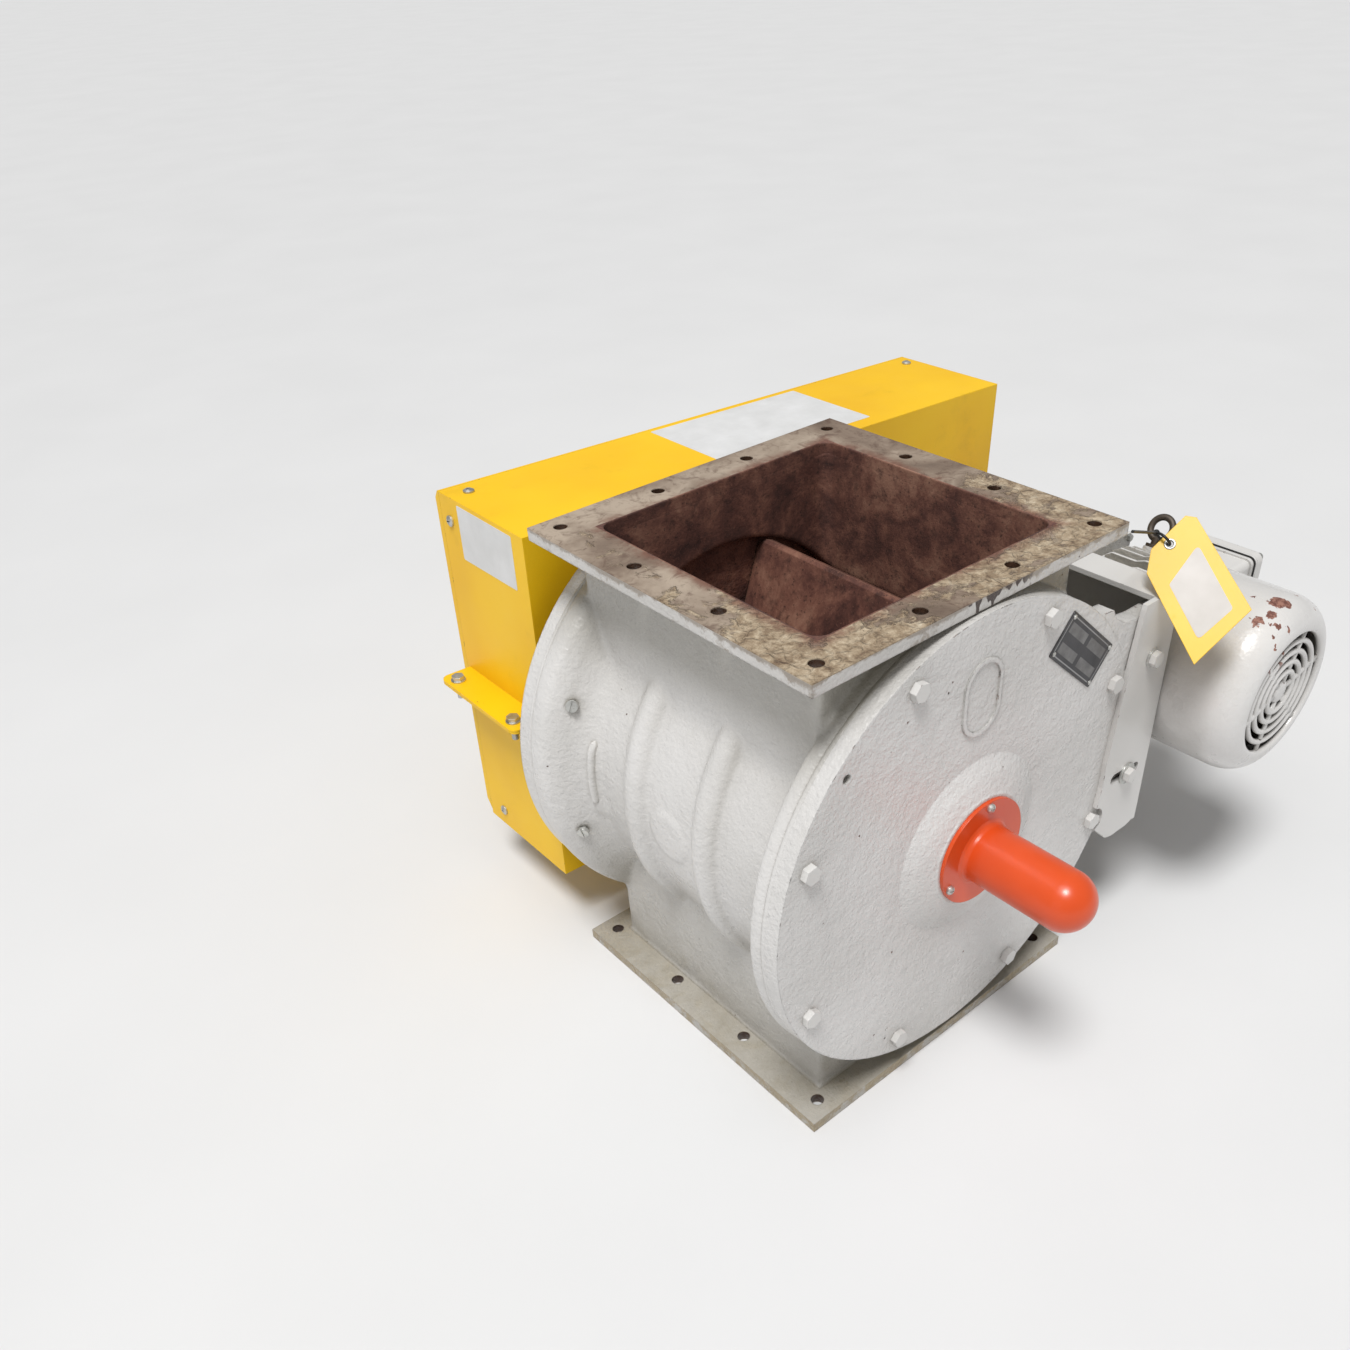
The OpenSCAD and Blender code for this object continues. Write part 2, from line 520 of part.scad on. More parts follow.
module motor_frame() {
  color([0.85, 0.85, 0.83]) translate([0, my, 0]) difference() {
    union() {
      ycyl(-188, -65, 80, mx, mz, 96);
      intersection() {
        translate([mx, -65, mz]) rotate([90, 0, 0]) linear_extrude(121) motor_fins2d();
        yrev(mx, mz, 96) polygon([[60, -188], [94.5, -188], [96, -186], [96, -118], [91.5, -106], [91.5, -74], [85, -64], [60, -64]]);
      }
      // seat of the conduit box
      translate([mx + 60, -165, mz - 27]) cube([25, 80, 62]);
      // boss under the lifting eye
      about_motor(59.5) translate([70, -91, 0]) rotate([0, 90, 0]) cylinder(h = 25.5, r = 11, $fn = 48);
    }
    ycyl(-189, -64, 70, mx, mz, 96);
    about_motor(59.5) translate([69, -91, 0]) rotate([0, 90, 0]) cylinder(h = 30, r = 5.1, $fn = 32);
    // lead way into the conduit box
    xcyl(mx + 55, mx + 90, 12, -125, mz + 15, 32);
    for (a = [0 : 90 : 359]) for (y = [-190, -81]) ycyl(y, y + 18, 2.6, mx + 75 * cos(a + 10), mz + 75 * sin(a + 10), 24);
  }
}
module motor_drive_end_bell() {
  color([0.85, 0.85, 0.83]) difference() {
    union() {
      yrev(mx, mz, 96) polygon([[0, -57], [80, -57], [80, -51], [73, -42], [66, -36], [66, -30], [80, -30], [80, -18], [0, -18]]);
      ring(-62, -56, 69.9, 66, mx, mz, 96);
      ring(-19, -10, 29.9, 22, mx, mz, 64);
    }
    yrev(mx, mz, 72) polygon([[0, -58], [62, -58], [56, -50], [0, -50]]);
    ycyl(-58, -40, 17.55, mx, mz, 48);
    ycyl(-45, -5, 9.5, mx, mz, 48);
    ycyl(-18.5, -5, 22, mx, mz, 48);
    for (a = [45 : 90 : 359]) ycyl(-31, -17, 3.1, mx + 72 * cos(a), mz + 72 * sin(a), 24);
    for (a = [0 : 90 : 359]) ycyl(-58, -30.5, 2.8, mx + 75 * cos(a + 10), mz + 75 * sin(a + 10), 24);
    for (a = [0 : 90 : 359]) ycyl(-53, -30.5, 6.5, mx + 75 * cos(a + 10), mz + 75 * sin(a + 10), 24);
  }
}
module motor_fan_end_bell() {
  color([0.85, 0.85, 0.83]) translate([0, my, 0]) difference() {
    union() {
      ycyl(-200, -188, 84, mx, mz, 96);
      ycyl(-208, -188, 26, mx, mz, 64);
      ring(-189, -183, 69.9, 66, mx, mz, 96);
      for (a = [45 : 90 : 359]) about_motor(a) translate([78, -200, -9]) cube([19, 10, 18]);
    }
    ycyl(-203, -180, 17.55, mx, mz, 48);
    ycyl(-210, -180, 9.5, mx, mz, 48);
    for (a = [0 : 90 : 359]) ycyl(-201, -187, 2.8, mx + 75 * cos(a + 10), mz + 75 * sin(a + 10), 24);
    for (a = [45 : 90 : 359]) about_motor(a) translate([82, -195, 0]) rotate([0, 90, 0]) cylinder(h = 20, r = 2.1, $fn = 24);
  }
}
module motor_bearings() {
  color("gray") { ring(-54, -40.1, 17.5, 8.56, mx, mz, 64); ring(-202.9 + my, -189 + my, 17.5, 8.56, mx, mz, 64); }
}
module cooling_fan() {
  color([0.2, 0.2, 0.2]) translate([0, my, 0]) difference() {
    union() {
      ycyl(-252, -214, 16, mx, mz, 48);
      ycyl(-218, -214, 62, mx, mz, 72);
      for (k = [0 : 7]) about_motor(45 * k) translate([12, -248, -1.5]) cube([68, 33, 3]);
    }
    ycyl(-260, -210, 8.52, mx, mz, 48);
  }
}
module cowl_profile(o) {
  polygon([[0, -190], [cowl_r - o, -190], [cowl_r - o, -264], [cowl_r - 1 - o, -275], [cowl_r - 5 - o, -285], [cowl_r - 14 - o, -294 + o * 0.6], [cowl_r - 26 - o, -300 + o], [cowl_r - 40 - o, -304 + o], [0, -304 + o]]);
}
module fan_cowl() {
  color([0.86, 0.86, 0.84]) translate([0, my, 0]) difference() {
    yrev(mx, mz, 120) cowl_profile(0);
    yrev(mx, mz, 120) translate([0, 0.001]) cowl_profile(3);
    translate([mx - 200, -190.5, mz - 200]) cube([400, 1, 400]);
    // ring slots of the air grille
    difference() {
      union() for (r = [[14, 22], [28, 36], [43, 52]]) ring(-306, -299, r[1], r[0], mx, mz, 64);
      for (a = [0 : 60 : 179]) translate([mx, -303, mz]) rotate([0, a + 12, 0]) cube([130, 10, 7], center = true);
    }
    for (a = [45 : 90 : 359]) about_motor(a) translate([90, -195, 0]) rotate([0, 90, 0]) cylinder(h = 20, r = 2.4, $fn = 24);
  }
}
module fan_cowl_screws() {
  color("silver") for (a = [45 : 90 : 359]) about_motor(a) translate([0, -195 + my, 0]) {
    translate([84, 0, 0]) rotate([0, 90, 0]) cylinder(h = cowl_r - 84 + 0.3, r = 2, $fn = 24);
    translate([cowl_r + 0.2, 0, 0]) rotate([0, 90, 0]) cylinder(h = 2.6, r = 4.6, $fn = 32);
  }
}
module end_bell_screws() {
  color("silver") for (a = [0 : 90 : 359]) {
    hex_bolt_y(-200 + my, mx + 75 * cos(a + 10), mz + 75 * sin(a + 10), 8, 4, 2.5, 26, 0);
    translate([mx + 75 * cos(a + 10), 0, mz + 75 * sin(a + 10)]) { ycyl(-72, -53.01, 2.5, 0, 0, 24); yhex(-53, -49, 8, 0, 0, 0); }
  }
  color("silver") for (a = [45 : 90 : 359]) translate([mx + 72 * cos(a), 0, mz + 72 * sin(a)]) {
    ycyl(-30.01, -8.5, 3, 0, 0, 24); yhex(-34, -30, 9, 0, 0, 0);
  }
}
module motor_side() { translate([mx - 390, my, mz - 320]) children(); }
module conduit2d(o, r) { translate([-125, 338]) plate2d(110 - 2 * o, 108 - 2 * o, r); }
module xext(x0, x1) { translate([x0, 0, 0]) rotate([90, 0, 90]) linear_extrude(x1 - x0) children(); }
module conduit_box() {
  color([0.85, 0.85, 0.83]) motor_side() difference() {
    union() {
      xext(475, 514) conduit2d(2, 8);
      xext(509, 514) conduit2d(0, 8);
    }
    difference() {
      xext(480, 520) conduit2d(8, 5);
      for (i = [-1, 1]) for (j = [-1, 1]) translate([478, -125 + i * 45, 338 + j * 44]) rotate([0, 90, 0]) cylinder(h = 40, r = 8, $fn = 32);
    }
    for (i = [-1, 1]) for (j = [-1, 1]) xcyl(500, 520, 2.6, -125 + i * 45, 338 + j * 44, 24);
    xcyl(470, 485, 12, -125, 335, 32);
    ycyl(-185, -165, 5, 496, 356, 32);
  }
}
module conduit_gasket() {
  color([0.12, 0.12, 0.12]) motor_side() difference() {
    xext(514, 516) conduit2d(1, 8);
    difference() {
      xext(510, 520) conduit2d(8, 5);
      for (i = [-1, 1]) for (j = [-1, 1]) xcyl(510, 520, 8, -125 + i * 45, 338 + j * 44, 32);
    }
    for (i = [-1, 1]) for (j = [-1, 1]) xcyl(510, 520, 2.9, -125 + i * 45, 338 + j * 44, 24);
  }
}
module conduit_lid() {
  color([0.86, 0.86, 0.84]) motor_side() difference() {
    union() {
      xext(516, 522) conduit2d(0, 8);
      xext(521, 541) conduit2d(3.5, 10);
      xext(540, 545) conduit2d(7.5, 14);
    }
    difference() {
      xext(510, 540) conduit2d(9.5, 8);
      for (i = [-1, 1]) for (j = [-1, 1]) xcyl(510, 545, 9, -125 + i * 45, 338 + j * 44, 32);
    }
    for (i = [-1, 1]) for (j = [-1, 1]) xcyl(510, 550, 2.9, -125 + i * 45, 338 + j * 44, 24);
    for (i = [-1, 1]) for (j = [-1, 1]) xcyl(541, 550, 6, -125 + i * 45, 338 + j * 44, 32);
  }
}
module conduit_lid_screws() {
  color("silver") motor_side() for (i = [-1, 1]) for (j = [-1, 1]) { xcyl(502, 541.01, 2.5, -125 + i * 45, 338 + j * 44, 24); xcyl(541, 544.4, 4.8, -125 + i * 45, 338 + j * 44, 32); }
}
module lifting_eye() {
  color([0.5, 0.48, 0.45]) about_motor(59.5) translate([0, -91 + my, 0]) {
    translate([72, 0, 0]) rotate([0, 90, 0]) cylinder(h = 35.5, r = 5, $fn = 32);
    translate([95.5, 0, 0]) rotate([0, 90, 0]) cylinder(h = 4, r = 9.5, $fn = 40);
    translate([119.5, 0, 0]) rotate_extrude($fn = 64) translate([13.4, 0]) circle(r = 3.9, $fn = 32);
  }
}

// ================= belt drive =================
module rotor_pulley() {
  color("dimgray") difference() {
    union() {
      translate([0, 332, zc]) rotate([90, 0, 0]) difference() {
        linear_extrude(34) pulley2d(tb);
        translate([0, 0, -1]) cylinder(h = 36, r = rb_ - 15, $fn = 96);
      }
      ycyl(309, 321, rb_ - 14, 0, zc, 96);
      ycyl(298, 332, 52, 0, zc, 72);
    }
    ycyl(290, 340, 38.05, 0, zc, 72);
    for (a = [0 : 60 : 359]) ycyl(300, 330, 14, 76 * cos(a + 30), zc + 76 * sin(a + 30), 40);
  }
}
module rotor_pulley_bushing() {
  color("gray") difference() {
    ycyl(298, 332, 38, 0, zc, 72);
    ycyl(290, 340, 24.05, 0, zc, 64);
    translate([-7.1, 290, zc + 20]) cube([14.2, 50, 7.5]);
    for (a = [150, 270, 30]) ycyl(326, 340, 4, 31.5 * cos(a), zc + 31.5 * sin(a), 24);
  }
}
module drive_pulley() {
  color("dimgray") difference() {
    union() {
      translate([ox, 332, oz]) rotate([90, 0, 0]) linear_extrude(34) pulley2d(ts);
      ycyl(294, 298, rs_ + 4, ox, oz, 72);
      ycyl(332, 336, rs_ + 4, ox, oz, 72);
    }
    ycyl(290, 340, 15.05, ox, oz, 64);
    translate([ox - 4.1, 290, oz + 11]) cube([8.2, 60, 8]);
  }
}
module drive_belt() {
  color([0.1, 0.1, 0.1]) yext(300, 330) belt2d(rb_ + belt_gap, rs_ + belt_gap, belt_t);
}
module rotor_shaft_key() { color("silver") translate([-6.95, 298, zc + 18.6]) cube([13.9, 34, 8.6]); }
module output_shaft_key() { color("silver") translate([ox - 3.95, 297, oz + 11.1]) cube([7.9, 38, 7.6]); }

// ================= guard =================
module guard_chamfers() {
  translate([-50, g_back, -10]) rotate([45, 0, 0]) translate([0, 0, 0]) cube([guard_l + 100, 40, 40]);
  translate([-50, 156, -g_h - 60]) translate([0, 0, 60]) rotate([48, 0, 0]) translate([0, 0, -60]) cube([guard_l + 100, 60, 60]);
}
module guard_half_shell(z0, z1, open_z) {
  translate([0, 0, z0]) cube([guard_l, g_d, z1 - z0]);
}
module guard_tab(z0, right) {
  translate([right ? guard_l : 0, 84, z0]) mirror([right ? 1 : 0, 0, 0]) linear_extrude(guard_t) difference() {
    union() {
      translate([-30, -80]) square([31, 160]);
      translate([-40, -70]) square([20, 140]);
      for (s = [-1, 1]) translate([-30, s * 70]) circle(r = 10, $fn = 40);
    }
    for (s = [-1, 1]) translate([-27, s * 60]) circle(r = 4.3, $fn = 32);
  }
}
module world_guard_holes() {
  ycyl(230, 245, 70, 0, zc, 96);
  ycyl(230, 245, 40, ox, oz, 72);
  for (p = standoff_xz) ycyl(230, 245, 5.3, p[0], p[1], 32);
}
cover_screw_top = [24, 718];
module lid_screw_places() {
  // on the top, the two end walls and the bottom; +Z of each place points out of the guard
  for (x = cover_screw_top) translate([x, 145, 0]) children();
  for (x = cover_screw_top) translate([x, 135, -g_h]) mirror([0, 0, 1]) children();
  for (p = [[150, -28], [134, -412]]) {
    translate([0, p[0], p[1]]) rotate([0, -90, 0]) children();
    translate([guard_l, p[0], p[1]]) rotate([0, 90, 0]) children();
  }
}
module guard_upper_half() {
  color([0.98, 0.8, 0.05]) difference() {
    guard_frame() difference() {
      union() {
        difference() {
          translate([0, 0, -g_split]) cube([guard_l, g_d, g_split]);
          translate([guard_t, guard_t, -g_split - 1]) cube([guard_l - 2 * guard_t, 200, g_split + 1 - guard_t]);
        }
        guard_tab(-g_split, false);
        guard_tab(-g_split, true);
      }
      lid_screw_places() translate([0, 0, -4]) cylinder(h = 8, r = 3.2, $fn = 24);
    }
    world_guard_holes();
  }
}
module guard_lower_half() {
  color([0.96, 0.77, 0.05]) difference() {
    guard_frame() difference() {
      union() {
        difference() {
          translate([0, 0, -g_h]) cube([guard_l, g_d, g_h - g_split - 0.2]);
          translate([guard_t, guard_t, -g_h + guard_t]) cube([guard_l - 2 * guard_t, 200, g_h]);
        }
        guard_tab(-g_split - 0.2 - guard_t, false);
        guard_tab(-g_split - 0.2 - guard_t, true);
      }
      lid_screw_places() translate([0, 0, -4]) cylinder(h = 8, r = 3.2, $fn = 24);
      translate([-50, 157, -g_h]) rotate([-30, 0, 0]) translate([0, 0, -30]) cube([guard_l + 100, 60, 30]);
    }
    world_guard_holes();
  }
}
module guard_back_cover() {
  q = guard_t;
  color([0.97, 0.78, 0.05]) guard_frame() difference() {
    union() {
      // shallow pan with bent top and bottom edges
      translate([0, 0, 0]) rotate([90, 0, 90]) linear_extrude(guard_l) polygon([[g_d + 0.2, 0], [g_d + 3, 0], [g_back, -9], [g_back, -g_h + 20], [g_d + 0.2, -g_h + 6.6], [g_d + 0.2, -g_h + 9.6], [g_back - q, -g_h + 22], [g_back - q, -10.5], [g_d + 2, -q], [g_d + 0.2, -q]]);
      for (x = [0, guard_l - q]) translate([x, 0, 0]) rotate([90, 0, 90]) linear_extrude(q) polygon([[g_d + 0.2, 0], [g_d + 3, 0], [g_back, -9], [g_back, -g_h + 20], [g_d + 0.2, -g_h + 6.6]]);
      // tongues that reach inside the two halves
      for (x = cover_screw_top) {
        translate([x - 12, 125, -q - 0.4 - q]) cube([24, g_d - 125 + 7, q]);
        translate([x - 12, 120, -g_h + q + 0.4]) cube([24, g_d - 120 + 3, q]);
        translate([x - 12, g_d - 1, -g_h + q + 0.4]) cube([24, q + 1, 20]);
        translate([x - 12, g_d - 1, -g_h + 12]) cube([24, 9, 12]);
      }
      for (x = [q + 0.4, guard_l - 2 * q - 0.4]) {
        translate([x, 132, -40]) cube([q, g_d - 132 + 8, 24]);
        translate([x, 118, -424]) cube([q, g_d - 118 + 8, 24]);
      }
    }
    lid_screw_places() translate([0, 0, -9]) cylinder(h = 12, r = 3.2, $fn = 24);
  }
}
module guard_cover_screws() {
  color("silver") guard_frame() lid_screw_places() difference() {
    union() {
      translate([0, 0, -8]) cylinder(h = 8.01, r = 3, $fn = 24);
      cylinder(h = 2, r = 6.2, $fn = 40);
      translate([0, 0, 1.99]) cylinder(h = 1.6, r1 = 6.2, r2 = 3.4, $fn = 40);
    }
    for (a = [15, 105]) rotate([0, 0, a]) translate([-3.5, -0.6, 1.6]) cube([7, 1.2, 4]);
  }
}
module joint_places() {
  for (x = [-27, guard_l + 27]) for (y = [24, 144]) translate([x, y, 0]) children();
}
module guard_joint_bolts() {
  color("silver") guard_frame() joint_places() {
    translate([0, 0, -g_split - 20]) cylinder(h = 20 + guard_t + 0.01, r = 4, $fn = 32);
    translate([0, 0, -g_split + guard_t]) cylinder(h = 1.6, r = 8.6, $fn = 40);
    translate([0, 0, -g_split + guard_t + 1.59]) rotate([0, 0, 20]) cylinder(h = 4.8, d = 13 / cos(30), $fn = 6);
  }
}
module guard_joint_nuts() {
  color("silver") guard_frame() joint_places() difference() {
    union() {
      translate([0, 0, -g_split - 0.2 - guard_t - 7.4]) cylinder(h = 7.4, d = 13 / cos(30), $fn = 6);
      translate([0, 0, -g_split - 0.2 - guard_t - 1.5]) cylinder(h = 1.5, r = 8.2, $fn = 40);
    }
    translate([0, 0, -g_split - 20]) cylinder(h = 20, r = 4.05, $fn = 32);
  }
}
module guard_standoffs() {
  color("silver") for (p = standoff_xz) difference() {
    union() { yhex(cover_y, gy, 17, p[0], p[1], 10); ycyl(192, cover_y + 0.01, 5, p[0], p[1], 32); }
    ycyl(218, gy + 1, 4.05, p[0], p[1], 32);
  }
}
module guard_mount_bolts() {
  color("silver") for (p = standoff_xz) { yhex(gy + guard_t, gy + guard_t + 6, 13, p[0], p[1], 25); ycyl(220, gy + guard_t + 0.01, 4, p[0], p[1], 32); }
}

// ================= hang tag =================
module tag_frame() { translate([244.3, -270, 403.1]) rotate([0, 46.1, -152.19]) children(); }
module hang_tag() {
  color([0.99, 0.85, 0.2]) tag_frame() linear_extrude(1.2) difference() {
    polygon([[0, 0], [-62.2, 41.7], [-147.6, -25.6], [-148, -36.3], [-109.7, -61.9], [-84.7, -61.2]]);
    translate([-117.3, -45.2]) circle(r = 3.6, $fn = 32);
  }
}
module tag_tie() {
  color([0.08, 0.08, 0.08]) {
    tag_frame() {
      translate([-117.3, -45.2, 0.6]) rotate([0, 0, 146.2]) {
        translate([0, 8, 0]) rotate([0, 90, 0]) rotate_extrude($fn = 40) translate([8, 0]) circle(r = 1.4, $fn = 20);
        translate([0, 18.1, 0]) sphere(r = 3.4, $fn = 28);
      }
    }
    translate([206, -201.4, 534]) rotate([0, tie_th, tie_ph]) cylinder(h = tie_len, r = 1.5, $fn = 24);
  }
}

housing();
front_end_cover();
rear_end_cover();
front_cover_bolts();
rear_cover_bolts();
rotor_wheel();
rotor_shaft();
rotor_bearing_outer_rings();
rotor_bearing_balls();
rotor_bearing_inner_rings();
shaft_seals();
shaft_end_cap();
cap_screws();
nameplate();
nameplate_rivets();
rim_plugs();
motor_bracket();
bracket_bolts();
bracket_washers();
gearbox_casing();
gearbox_cover();
gearbox_cover_screws();
gearbox_foot_bolts();
gearbox_bearings();
output_shaft();
output_gear();
intermediate_shaft();
intermediate_gear();
motor_shaft();
motor_rotor_core();
motor_stator();
motor_frame();
motor_drive_end_bell();
motor_fan_end_bell();
motor_bearings();
cooling_fan();
fan_cowl();
fan_cowl_screws();
end_bell_screws();
conduit_box();
conduit_gasket();
conduit_lid();
conduit_lid_screws();
lifting_eye();
rotor_pulley();
rotor_pulley_bushing();
drive_pulley();
drive_belt();
rotor_shaft_key();
output_shaft_key();
guard_upper_half();
guard_lower_half();
guard_back_cover();
guard_cover_screws();
guard_joint_bolts();
guard_joint_nuts();
guard_standoffs();
guard_mount_bolts();
hang_tag();
tag_tie();
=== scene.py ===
import json
import math

import bmesh
import bpy
from mathutils.bvhtree import BVHTree
from mathutils import Matrix, Vector, noise


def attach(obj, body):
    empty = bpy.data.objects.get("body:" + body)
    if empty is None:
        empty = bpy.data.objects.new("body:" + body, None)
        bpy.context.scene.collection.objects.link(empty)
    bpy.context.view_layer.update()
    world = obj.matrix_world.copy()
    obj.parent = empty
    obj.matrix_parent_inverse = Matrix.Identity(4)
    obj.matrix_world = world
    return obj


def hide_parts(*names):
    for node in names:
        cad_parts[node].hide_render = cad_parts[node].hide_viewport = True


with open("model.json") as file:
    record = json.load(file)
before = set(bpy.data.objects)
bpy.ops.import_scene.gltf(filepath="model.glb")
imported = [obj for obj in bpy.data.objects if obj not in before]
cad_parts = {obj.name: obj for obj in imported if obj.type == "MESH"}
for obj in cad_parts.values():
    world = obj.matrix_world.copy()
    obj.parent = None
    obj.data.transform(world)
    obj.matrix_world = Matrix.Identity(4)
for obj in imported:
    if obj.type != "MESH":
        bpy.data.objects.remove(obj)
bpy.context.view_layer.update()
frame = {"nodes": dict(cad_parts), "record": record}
nodes = frame["nodes"]


scene = bpy.context.scene
PI = math.pi

# ---------------------------------------------------------------- camera
AZ, EL, ROLL = math.radians(-39.1228), math.radians(37.7919), math.radians(-2.8741)
W = 1350.0
F_PX, PPX, PPY = 1182.27, 743.66, 807.17
cam_data = bpy.data.cameras.new("main_camera")
cam = bpy.data.objects.new("main_camera", cam_data)
scene.collection.objects.link(cam)
forward = Vector((math.sin(-AZ) * math.cos(EL), math.cos(AZ) * math.cos(EL), -math.sin(EL)))
cam.rotation_mode = "QUATERNION"
q = forward.to_track_quat("-Z", "Y")
cam.rotation_quaternion = q @ Matrix.Rotation(ROLL, 3, "Z").to_quaternion()
cam.location = (-0.725874, -0.753354, 1.020532)
cam_data.sensor_fit = "HORIZONTAL"
cam_data.sensor_width = 36.0
cam_data.lens = F_PX / W * 36.0
cam_data.shift_x = (W / 2 - PPX) / W
cam_data.shift_y = (PPY - W / 2) / W
cam_data.clip_start = 0.05
cam_data.clip_end = 60
scene.camera = cam


# ---------------------------------------------------------------- node helpers
class Mat:
    """A small builder of shader trees."""

    def __init__(self, name):
        self.m = bpy.data.materials.new(name)
        self.m.use_nodes = True
        self.nt = self.m.node_tree
        self.nt.nodes.clear()
        self.out = self.nt.nodes.new("ShaderNodeOutputMaterial")
        self.tc = self.nt.nodes.new("ShaderNodeTexCoord")
        self.obj = self.tc.outputs["Object"]
        self.geo = self.nt.nodes.new("ShaderNodeNewGeometry")
        self._xyz = None

    def put(self, sock, v):
        if isinstance(v, bpy.types.NodeSocket):
            self.nt.links.new(v, sock)
        elif v is not None:
            if hasattr(sock.default_value, "__len__") and not hasattr(v, "__len__"):
                v = (v, v, v, 1)[: len(sock.default_value)]
            elif hasattr(v, "__len__") and len(v) == 3 and len(sock.default_value) == 4:
                v = (*v, 1)
            sock.default_value = v

    def xyz(self):
        if self._xyz is None:
            n = self.nt.nodes.new("ShaderNodeSeparateXYZ")
            self.nt.links.new(self.obj, n.inputs[0])
            self._xyz = n.outputs
        return self._xyz

    def math(self, op, a, b=0.0, c=0.0, clamp=False):
        n = self.nt.nodes.new("ShaderNodeMath")
        n.operation = op
        n.use_clamp = clamp
        self.put(n.inputs[0], a)
        self.put(n.inputs[1], b)
        self.put(n.inputs[2], c)
        return n.outputs[0]

    def noise(self, scale, detail=3.0, rough=0.5, dist=0.0, vec=None, color=False):
        n = self.nt.nodes.new("ShaderNodeTexNoise")
        self.put(n.inputs["Vector"], vec if vec is not None else self.obj)
        n.inputs["Scale"].default_value = scale
        n.inputs["Detail"].default_value = detail
        n.inputs["Roughness"].default_value = rough
        n.inputs["Distortion"].default_value = dist
        return n.outputs["Color"] if color else n.outputs["Fac"]

    def voronoi(self, scale, feature="F1", vec=None, rand=1.0, out="Distance"):
        n = self.nt.nodes.new("ShaderNodeTexVoronoi")
        n.feature = feature
        self.put(n.inputs["Vector"], vec if vec is not None else self.obj)
        n.inputs["Scale"].default_value = scale
        n.inputs["Randomness"].default_value = rand
        return n.outputs[out]

    def ramp(self, v, *stops, ease="LINEAR"):
        n = self.nt.nodes.new("ShaderNodeValToRGB")
        n.color_ramp.interpolation = ease
        self.put(n.inputs[0], v)
        el = n.color_ramp.elements
        while len(el) < len(stops):
            el.new(0.5)
        for e, (p, c) in zip(el, stops):
            e.position = p
            e.color = (c, c, c, 1) if not hasattr(c, "__len__") else (*c, 1)
        return n.outputs[0]

    def step(self, v, lo, hi):
        """0 below lo, 1 above hi."""
        n = self.nt.nodes.new("ShaderNodeMapRange")
        n.interpolation_type = "SMOOTHSTEP"
        self.put(n.inputs[0], v)
        n.inputs[1].default_value = lo
        n.inputs[2].default_value = hi
        n.inputs[3].default_value = 0
        n.inputs[4].default_value = 1
        return n.outputs[0]

    def mix(self, f, a, b, mode="MIX"):
        n = self.nt.nodes.new("ShaderNodeMix")
        n.data_type = "RGBA"
        n.blend_type = mode
        self.put(n.inputs[0], f)
        self.put(n.inputs[6], a)
        self.put(n.inputs[7], b)
        return n.outputs[2]

    def mapping(self, scale=(1, 1, 1), rot=(0, 0, 0), loc=(0, 0, 0), vec=None):
        n = self.nt.nodes.new("ShaderNodeMapping")
        self.put(n.inputs[0], vec if vec is not None else self.obj)
        n.inputs["Scale"].default_value = scale
        n.inputs["Rotation"].default_value = rot
        n.inputs["Location"].default_value = loc
        return n.outputs[0]

    def bevel_normal(self, radius):
        n = self.nt.nodes.new("ShaderNodeBevel")
        n.samples = 6
        n.inputs["Radius"].default_value = radius
        return n.outputs[0]

    def edge(self, radius):
        """1 near sharp edges, 0 on flats."""
        b = self.bevel_normal(radius)
        d = self.nt.nodes.new("ShaderNodeVectorMath")
        d.operation = "DOT_PRODUCT"
        self.nt.links.new(b, d.inputs[0])
        self.nt.links.new(self.geo.outputs["Normal"], d.inputs[1])
        return self.math("SUBTRACT", 1.0, d.outputs["Value"], clamp=True)

    def crevice(self, distance):
        """1 in tight or sheltered places, 0 in the open."""
        n = self.nt.nodes.new("ShaderNodeAmbientOcclusion")
        n.samples = 4
        n.inputs["Distance"].default_value = distance
        return self.math("SUBTRACT", 1.0, n.outputs["AO"], clamp=True)

    def warp(self, amount, scale):
        """Object coordinates pushed about by a noise, for irregular outlines."""
        n = self.noise(scale, 3, 0.6, color=True)
        sub = self.nt.nodes.new("ShaderNodeVectorMath")
        sub.operation = "MULTIPLY_ADD"
        self.nt.links.new(n, sub.inputs[0])
        sub.inputs[1].default_value = (amount, amount, amount)
        self.nt.links.new(self.obj, sub.inputs[2])
        return sub.outputs[0]

    def bump(self, h, strength=0.3, dist=0.001, normal=None):
        n = self.nt.nodes.new("ShaderNodeBump")
        n.inputs["Strength"].default_value = strength
        n.inputs["Distance"].default_value = dist
        self.put(n.inputs["Height"], h)
        if normal is not None:
            self.nt.links.new(normal, n.inputs["Normal"])
        return n.outputs[0]

    def shader(self, color, rough, metal=0.0, normal=None, coat=0.0, coat_rough=0.1, spec=0.5, ior=1.5, sheen=0.0):
        b = self.nt.nodes.new("ShaderNodeBsdfPrincipled")
        self.put(b.inputs["Base Color"], color)
        self.put(b.inputs["Roughness"], rough)
        self.put(b.inputs["Metallic"], metal)
        b.inputs["IOR"].default_value = ior
        b.inputs["Specular IOR Level"].default_value = spec
        b.inputs["Coat Weight"].default_value = coat
        b.inputs["Coat Roughness"].default_value = coat_rough
        b.inputs["Sheen Weight"].default_value = sheen
        if normal is not None:
            self.nt.links.new(normal, b.inputs["Normal"])
        self.nt.links.new(b.outputs[0], self.out.inputs[0])
        return self.m


def srgb(r, g, b):
    f = lambda c: c / 12.92 if c <= 0.04045 else ((c + 0.055) / 1.055) ** 2.4
    return (f(r / 255), f(g / 255), f(b / 255))


